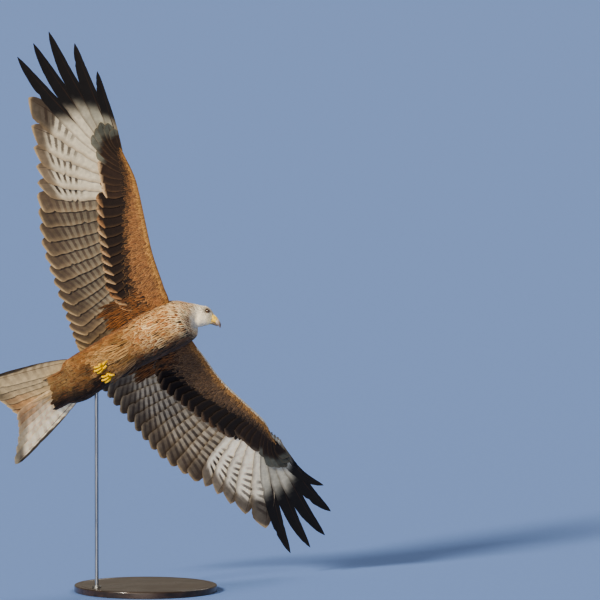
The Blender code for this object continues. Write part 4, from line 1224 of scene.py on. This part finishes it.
def limb(path, radii, sides, scute=0.0, period=3.0):
    """Rings round a path, raised in scutes along it where scute is not 0."""
    ahead = unit(np.gradient(path, axis=0))
    travel = np.concatenate(((0,), np.cumsum(np.linalg.norm(np.diff(path, axis=0), axis=1))))
    radii = radii * (1 - scute + scute * np.abs(np.sin(math.pi * travel / period)) ** 0.5)
    side, turn, rings = unit(np.cross(ahead[0], (0.3, 0.9, 0.2))), circle(sides)[:, None], []
    for point, forward, radius in zip(path, ahead, radii):
        side = unit(side - forward * side.dot(forward))
        rings.append(point + radius * (np.cos(turn) * side + np.sin(turn) * np.cross(forward, side)))
    return rings


def build_foot(word, skin, horn):
    """One closed foot: toes, shank and pad in one piece, and a claw on each toe."""
    (x, y), side = FOOT_PLACES[word], SIDES[word]
    belly = body_surface(5.15, circle(40))[:, 2].min()
    hub = np.array((x + 15, y, belly - FOOT_DROP))
    # Toes: place at the hub, yaw, reach, drop, the angle it closes to, steps along it, taper.
    toes = (
        ((0, -6.08, 0), -12, 9.5, 8.6, 150, 60, 0.27),
        ((0, 0, 0), 0, 11.5, 9.6, 152, 60, 0.27),
        ((0, 6.08, 0), 12, 9.0, 8.4, 148, 60, 0.27),
        ((2, -5 * side, -2.5), 180 - 24 * side, 9.0, 7.5, 112, 50, 0.24),
    )
    paths, meshes = [], []
    for place, yaw_deg, reach, drop, end_deg, steps, taper in toes:
        paths.append(toe_path(hub + place, yaw_deg, reach, drop, end_deg, steps))
        share = np.linspace(0, 1, steps)
        radii = 1.0864 * TOE_RADIUS * (1 - taper * share) * (1 + 0.07 * np.cos(share * 3 * math.tau))
        radii[-1] *= 0.7
        meshes.append(grid_mesh("toe", limb(paths[-1], radii, 20, 0.1, 2.6)))
    heel = hub + (46, side * 6, FOOT_DROP + 16)
    share = np.linspace(0, 1, 60)
    radii = np.interp(share, (0, 0.5, 1), (4.7, 4.0, 4.6))
    meshes.append(grid_mesh("shank", limb(heel + share[:, None] * (hub - heel), radii, 24, 0.08, 3.4)))
    bm, points = ball(32, 20)
    pad = points * (6.8, 11.2, 4.7)
    pad *= 1 + 0.05 * np.sin(pad[:, :1] * 2.1) * np.cos(pad[:, 1:2] * 1.9)
    meshes.append(moved("pad", bm, pad + hub - (1, 0, 1)))
    foot = join_pieces(f"foot_{word}", meshes, skin)
    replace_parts(foot, f"leg_{word}")
    for number, path in enumerate(paths, 1):
        claw = grid_piece(f"talon_{word}_{number}", claw_rings(path), horn)
        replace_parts(claw, f"claw_{word}_{number}")


def claw_rings(path):
    """A sharp curved claw that carries on past the end of its toe."""
    end, before = path[-1], path[-8]
    ahead = unit(end - before)
    flat = unit((before - end) * (1, 1, 0))
    inward = unit(flat - ahead * flat.dot(ahead))
    radius = CLAW_LENGTH / math.radians(CLAW_TURN_DEG)
    share = np.linspace(0, 1, 26)[:, None]
    turn = math.radians(CLAW_TURN_DEG) * share
    points = end + ahead * (radius * np.sin(turn) - 0.6) + inward * radius * (1 - np.cos(turn))
    return limb(points, 2.25 * (1 - share[:, 0]) ** 0.8 + 0.06, 18)


class Nodes:
    """A short way to write a material's nodes."""

    def __init__(self, name, **settings):
        """settings go to the shader's inputs of the same name, with _ for a space."""
        self.material = bpy.data.materials.new(name)
        self.material.use_nodes = True
        self.tree = self.material.node_tree
        self.shader = self.tree.nodes["Principled BSDF"]
        for key, value in settings.items():
            self.put(value, self.shader.inputs[key.replace("_", " ")])

    def put(self, value, socket):
        """Links a socket to an input, or writes a number, vector or colour on it."""
        if isinstance(value, bpy.types.NodeSocket):
            self.tree.links.new(value, socket)
        elif isinstance(value, (np.ndarray, tuple)):
            socket.default_value = (*value[:3], 1.0) if len(socket.default_value) == 4 else tuple(value)
        else:
            socket.default_value = value

    def node(self, kind, inputs, **properties):
        """The outputs of a new node, its inputs filled by name or number."""
        node = self.tree.nodes.new(f"ShaderNode{kind}")
        for key, value in properties.items():
            setattr(node, key, value)
        for key, value in inputs.items():
            self.put(value, node.inputs[key])
        return node.outputs

    def math(self, operation, a, b=0.0, clamp=False):
        return self.node("Math", {0: a, 1: b}, operation=operation, use_clamp=clamp)[0]

    def add(self, a, b):
        return self.math("ADD", a, b)

    def less(self, a, b):
        return self.math("SUBTRACT", a, b)

    def times(self, a, b, clamp=False):
        return self.math("MULTIPLY", a, b, clamp)

    def fit(self, value, low, high, to_low=0.0, to_high=1.0):
        """Takes a value from low to high over to to_low to to_high, with soft ends."""
        inputs = dict(enumerate((value, low, high, to_low, to_high)))
        return self.node("MapRange", inputs, interpolation_type="SMOOTHSTEP")[0]

    def mix(self, share, a, b):
        return self.node("Mix", {0: share, 6: a, 7: b}, data_type="RGBA")[2]

    def scale(self, colour, factor):
        return self.node("VectorMath", {0: colour, "Scale": factor}, operation="SCALE")[0]

    def read(self, name, output="Vector"):
        return self.node("Attribute", {}, attribute_name=name)[output]

    def parts(self, vector):
        return self.node("SeparateXYZ", {0: vector})

    def place(self, stretch=None):
        """The place on the piece, drawn out along the axes where stretch is small."""
        place = self.node("TexCoord", {})["Object"]
        return place if stretch is None else self.node("Mapping", {"Vector": place, "Scale": stretch})[0]

    def noise(self, scale, detail=3.0, vector=None, roughness=0.55):
        vector = self.place() if vector is None else vector
        inputs = {"Vector": vector, "Scale": scale, "Detail": detail, "Roughness": roughness}
        return self.node("TexNoise", inputs)[0]

    def bump(self, height, strength, distance):
        bump = self.node("Bump", {"Height": height, "Strength": strength, "Distance": distance})
        self.put(bump[0], self.shader.inputs["Normal"])

    def finish(self, colour, roughness=None):
        """Gives the shader its colour, and its roughness where that varies."""
        self.put(colour, self.shader.inputs["Base Color"])
        if roughness is not None:
            self.put(roughness, self.shader.inputs["Roughness"])
        return self.material


def feather_material(name, bars_along, barbs_along, fringe, streak_soft):
    """Feathers: tint with a dark shaft streak, bars, a pale fringe, barbs and uneven wear."""
    n = Nodes(name, Roughness=0.72, Sheen_Weight=0.12, Sheen_Roughness=0.5, Specular_IOR_Level=0.3)
    tint, mark = n.read("tint", "Color"), n.read("mark", "Color")
    across, along, chance = n.parts(n.read("vane"))
    streak_wide, bars_amount, fringe_amount = n.parts(n.read("look"))
    away = n.math("ABSOLUTE", across)
    wander = n.times(n.less(n.noise(420.0, 2.0), 0.5), 0.35)
    reach = n.times(streak_wide, n.fit(along, 0.5, 1.0, 1.25, 0.5))
    streak = n.fit(n.add(n.less(reach, away), n.times(wander, streak_wide)), -streak_soft, streak_soft)
    phase = n.add(n.times(along, bars_along), n.times(chance, 6.0))
    phase = n.add(phase, n.add(n.times(away, 0.35), n.times(wander, 0.8)))
    wave = n.math("SINE", n.times(phase, math.tau))
    bars = n.times(n.fit(wave, -0.25, 0.6), bars_amount, True)
    colour = n.mix(bars, n.mix(streak, tint, mark), mark)
    rim = n.math("MAXIMUM", n.fit(away, 0.62, 1.0), n.fit(along, 0.9, 1.0))
    colour = n.mix(n.times(rim, fringe_amount, True), colour, n.mix(0.5, fringe, tint))
    barb = n.add(n.times(along, barbs_along), n.times(away, -barbs_along * 0.16))
    ridges = n.math("SINE", n.times(barb, math.tau))
    bright = n.add(n.times(ridges, 0.035), n.fit(chance, 0, 1, 0.88, 1.1))
    bright = n.times(bright, n.fit(n.noise(75.0, 4.0), 0.25, 0.75, 0.82, 1.14))
    n.bump(n.add(ridges, n.times(n.noise(900.0, 2.0), 0.8)), 0.22, 0.0004)
    return n.finish(n.scale(colour, bright))


def down_material():
    """Down over the skin, in the colours of the coat."""
    n = Nodes("down", Roughness=0.85)
    n.bump(n.noise(700.0, 3.0), 0.5, 0.0008)
    return n.finish(n.scale(n.read("tint", "Color"), n.fit(n.noise(160.0, 5.0), 0.3, 0.7, 0.55, 1.0)))


def soft_skin_material(name, light, deep, cell_scale=520.0, creasing=0.6):
    """Bare skin of the cere, the gape, the lids and the toes: scaly, with darker creases."""
    n = Nodes(name, Roughness=0.42, Subsurface_Weight=0.08, Subsurface_Radius=(0.004, 0.002, 0.001))
    cells = n.node("TexVoronoi", {"Vector": n.place(), "Scale": cell_scale}, feature="DISTANCE_TO_EDGE")
    crease = n.fit(cells["Distance"], 0.0, 0.14)
    colour = n.mix(n.times(n.fit(n.noise(130.0, 4.0), 0.35, 0.7), 0.55), light, deep)
    colour = n.mix(n.times(n.less(1.0, crease), creasing), colour, deep * 0.45)
    n.bump(crease, 0.6 * creasing, 0.0004)
    return n.finish(colour, n.fit(n.noise(60.0), 0.3, 0.7, 0.34, 0.5))


def bill_material(name, base, tip, start, length, roughness):
    """Horn of the bill, darker towards the tip, with fine growth lines."""
    n = Nodes(name, Roughness=roughness, Coat_Weight=0.25, Coat_Roughness=0.2)
    ahead = n.node("VectorMath", {0: n.place(), 1: tuple(BILL_HEADING)}, operation="DOT_PRODUCT")["Value"]
    lines = n.noise(260.0, 3.0)
    n.bump(lines, 0.12, 0.0003)
    colour = n.mix(n.fit(n.less(ahead, start), 0.0, length), base, tip)
    return n.finish(n.scale(colour, n.fit(lines, 0.3, 0.7, 0.8, 1.15)))


def claw_material():
    """Black horn with fine growth lines."""
    n = Nodes("talon_horn", Roughness=0.25, Coat_Weight=0.4)
    lines = n.noise(420.0, 3.0)
    n.bump(lines, 0.1, 0.0002)
    return n.finish(n.mix(n.fit(lines, 0.35, 0.75), rgb(18, 16, 16), rgb(60, 52, 46)))


def eye_material():
    """A dark pupil in an amber iris with fine rays and a dark rim, under a wet surface."""
    n = Nodes("eye_wet", Roughness=0.08, Coat_Weight=1.0, Coat_Roughness=0.02)
    degrees, _, _ = n.parts(n.read("vane"))
    rays = n.noise(9.0, 4.0, n.scale(n.read("vane"), 0.9))
    iris = n.mix(n.fit(rays, 0.3, 0.7), rgb(128, 84, 34), rgb(74, 46, 20))
    iris = n.mix(n.fit(degrees, 28.0, 40.0), iris, rgb(26, 18, 12))
    colour = n.mix(n.fit(degrees, 21.0, 24.0), rgb(5, 4, 4), iris)
    return n.finish(n.mix(n.fit(degrees, 40.0, 44.0), colour, rgb(16, 13, 11)))


def wood_material():
    """Dark wood under lacquer, its grain along X."""
    n = Nodes("lacquered_wood", Roughness=0.32, Coat_Weight=0.5, Coat_Roughness=0.12)
    grain = n.noise(1.4, 6.0, n.place((3.0, 40.0, 40.0)), 0.62)
    n.bump(grain, 0.12, 0.0006)
    colour = n.mix(n.fit(grain, 0.35, 0.68), rgb(34, 27, 24), rgb(62, 48, 40))
    return n.finish(colour, n.fit(n.noise(9.0), 0.3, 0.7, 0.26, 0.4))


def steel_material():
    """Steel brushed lengthwise."""
    n = Nodes("brushed_steel", Roughness=0.3, Metallic=1.0)
    brushed = n.noise(1.0, 3.0, n.place((900.0, 900.0, 14.0)))
    n.bump(brushed, 0.08, 0.0002)
    colour = n.mix(n.fit(brushed, 0.3, 0.7), rgb(150, 152, 154), rgb(176, 178, 180))
    return n.finish(colour, n.fit(brushed, 0.3, 0.7, 0.24, 0.4))


def lathe(name, profile, sides, centre, material, closed_ends=True):
    """A turned piece from a profile of radius and height, in millimetres of the world."""
    radius, height = np.array(profile, float).T[..., None]
    turn = circle(sides)
    rings = joined(centre[0] + radius * np.cos(turn), centre[1] + radius * np.sin(turn), height)
    return grid_piece(name, from_world(rings), material, closed_ends)


def build_stand():
    """The turned base with its softened edge and groove, the polished rod, and the collar at its foot."""
    wood, steel = wood_material(), steel_material()
    edge, groove = 3.0, 0.7
    profile = [(0.4, 0), (BASE_RADIUS - 1.2, 0), (BASE_RADIUS, 1.2)]
    for turn in np.linspace(0, math.pi / 2, 9):
        inset, depth = edge * (1 - math.cos(turn)), edge * (1 - math.sin(turn))
        profile.append((BASE_RADIUS - inset, BASE_HEIGHT - depth))
    for inset, depth in ((14, 0), (15, groove), (17, groove), (18, 0), (BASE_RADIUS - 0.4, 0)):
        profile.append((BASE_RADIUS - inset, BASE_HEIGHT - depth))
    base = lathe("stand_disc", profile, 192, (0, 0), wood)
    base.data.set_sharp_from_angle(angle=math.radians(30))
    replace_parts(base, "stand_base")
    low, high = (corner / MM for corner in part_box("stand_rod"))
    centre = (low + high) / 2
    profile = [(ROD_RADIUS, z) for z in (low.z, low.z + 4, high.z - 1, high.z)]
    rod = lathe("stand_post", profile, 48, centre, steel)
    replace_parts(rod, "stand_rod")
    bore = ROD_RADIUS + 0.1
    collar = [(bore, 0), (12.0, 0), (12.0, 3.4), (11.2, 4.4), (ROD_RADIUS + 1.4, 5.4), (bore, 5.4), (bore, 0)]
    profile = [(radius, BASE_HEIGHT + height) for radius, height in collar]
    ring = lathe("stand_collar", profile, 48, centre, steel, False)
    ring.data.set_sharp_from_angle(angle=math.radians(35))


def build_camera():
    """A long lens that looks a little down on the bird from far off."""
    right = Vector((1, 0, 0))
    view_up, to_viewer = (Vector(axis) for axis in view_axes())
    target = Vector(BIRD_ORIGIN * MM) + AIM[0] * right + AIM[1] * view_up
    lens = bpy.data.cameras.new("camera")
    lens.sensor_width, lens.lens = SENSOR, SENSOR * CAMERA_DISTANCE / VIEW_WIDTH
    lens.clip_start, lens.clip_end = 1.0, 400.0
    camera = linked("camera", lens)
    turn = Matrix((right, view_up, to_viewer)).transposed().to_4x4()
    camera.matrix_world = Matrix.Translation(target + to_viewer * CAMERA_DISTANCE) @ turn
    bpy.context.scene.camera = camera


def build_studio():
    """A plain pale floor that fills the view, a soft key from the upper left and an even sky."""
    bpy.ops.mesh.primitive_plane_add(size=FLOOR_SIZE, location=(0, 0, 0))
    floor = bpy.context.active_object
    floor.name = "floor"
    n = Nodes("floor_paint", Roughness=0.9)
    floor.data.materials.append(n.finish(n.scale(FLOOR_COLOUR, n.fit(n.noise(60.0), 0.3, 0.7, 0.985, 1.015))))
    scene, world = bpy.context.scene, bpy.data.worlds.new("sky")
    scene.world, scene.view_settings.look = world, "AgX - Medium High Contrast"
    world.use_nodes = True
    sky = world.node_tree.nodes["Background"]
    sky.inputs[0].default_value, sky.inputs[1].default_value = (*SKY_COLOUR, 1), SKY_STRENGTH
    for name, heading, strength, soft_deg, colour in LAMPS:
        lamp = bpy.data.lights.new(name, "SUN")
        lamp.energy, lamp.angle, lamp.color = strength, math.radians(soft_deg), colour
        linked(name, lamp).rotation_euler = Vector(heading).to_track_quat("-Z", "Y").to_euler()


def main():
    build_camera()
    build_studio()
    body = feather_material("body_feathers", 3.0, 14.0, CREAM, 0.1)
    head = feather_material("head_feathers", 3.0, 10.0, WHITISH, 0.1)
    wing = feather_material("wing_coverts", 2.5, 16.0, BUFF, 0.12)
    flight = feather_material("flight_feathers", 13.0, 130.0, mix(CREAM, GOLD, 0.35), 0.02)
    tail = feather_material("tail_feathers", 13.0, 110.0, CREAM, 0.02)
    yellow = soft_skin_material("yellow_scales", rgb(246, 206, 52), rgb(214, 150, 22))
    pale_yellow = soft_skin_material("pale_yellow_skin", rgb(244, 212, 104), rgb(226, 180, 66), 1500.0, 0.16)
    lid_skin = soft_skin_material("lid_skin", rgb(58, 48, 38), rgb(34, 28, 24), 1900.0, 0.3)

    skin = build_skin(down_material())
    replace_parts(skin, "torso", "neck", "head")
    coat(body, head)
    build_thigh_tufts(body)
    for word in SIDES:
        vanes = wing_flight(word, flight)
        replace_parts(vanes, f"wing_{word}")
        greater_coverts(word, wing)
        for face in FACES:
            small_coverts(word, face, wing)
        axillaries(word, wing)
        build_foot(word, yellow, claw_material())
    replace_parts(tail_feathers(tail), "tail")
    start = float(BILL_HEADING @ to_world(in_head(*BILL_ROOT)))
    hook = bill_material("hook_keratin", rgb(218, 192, 166), rgb(104, 94, 92), start, 0.017, 0.35)
    under = bill_material("lower_keratin", rgb(226, 196, 116), rgb(120, 108, 98), start - 0.012, 0.014, 0.4)
    build_bill(pale_yellow, hook, under)
    build_eyes(eye_material(), lid_skin)
    build_stand()


main()
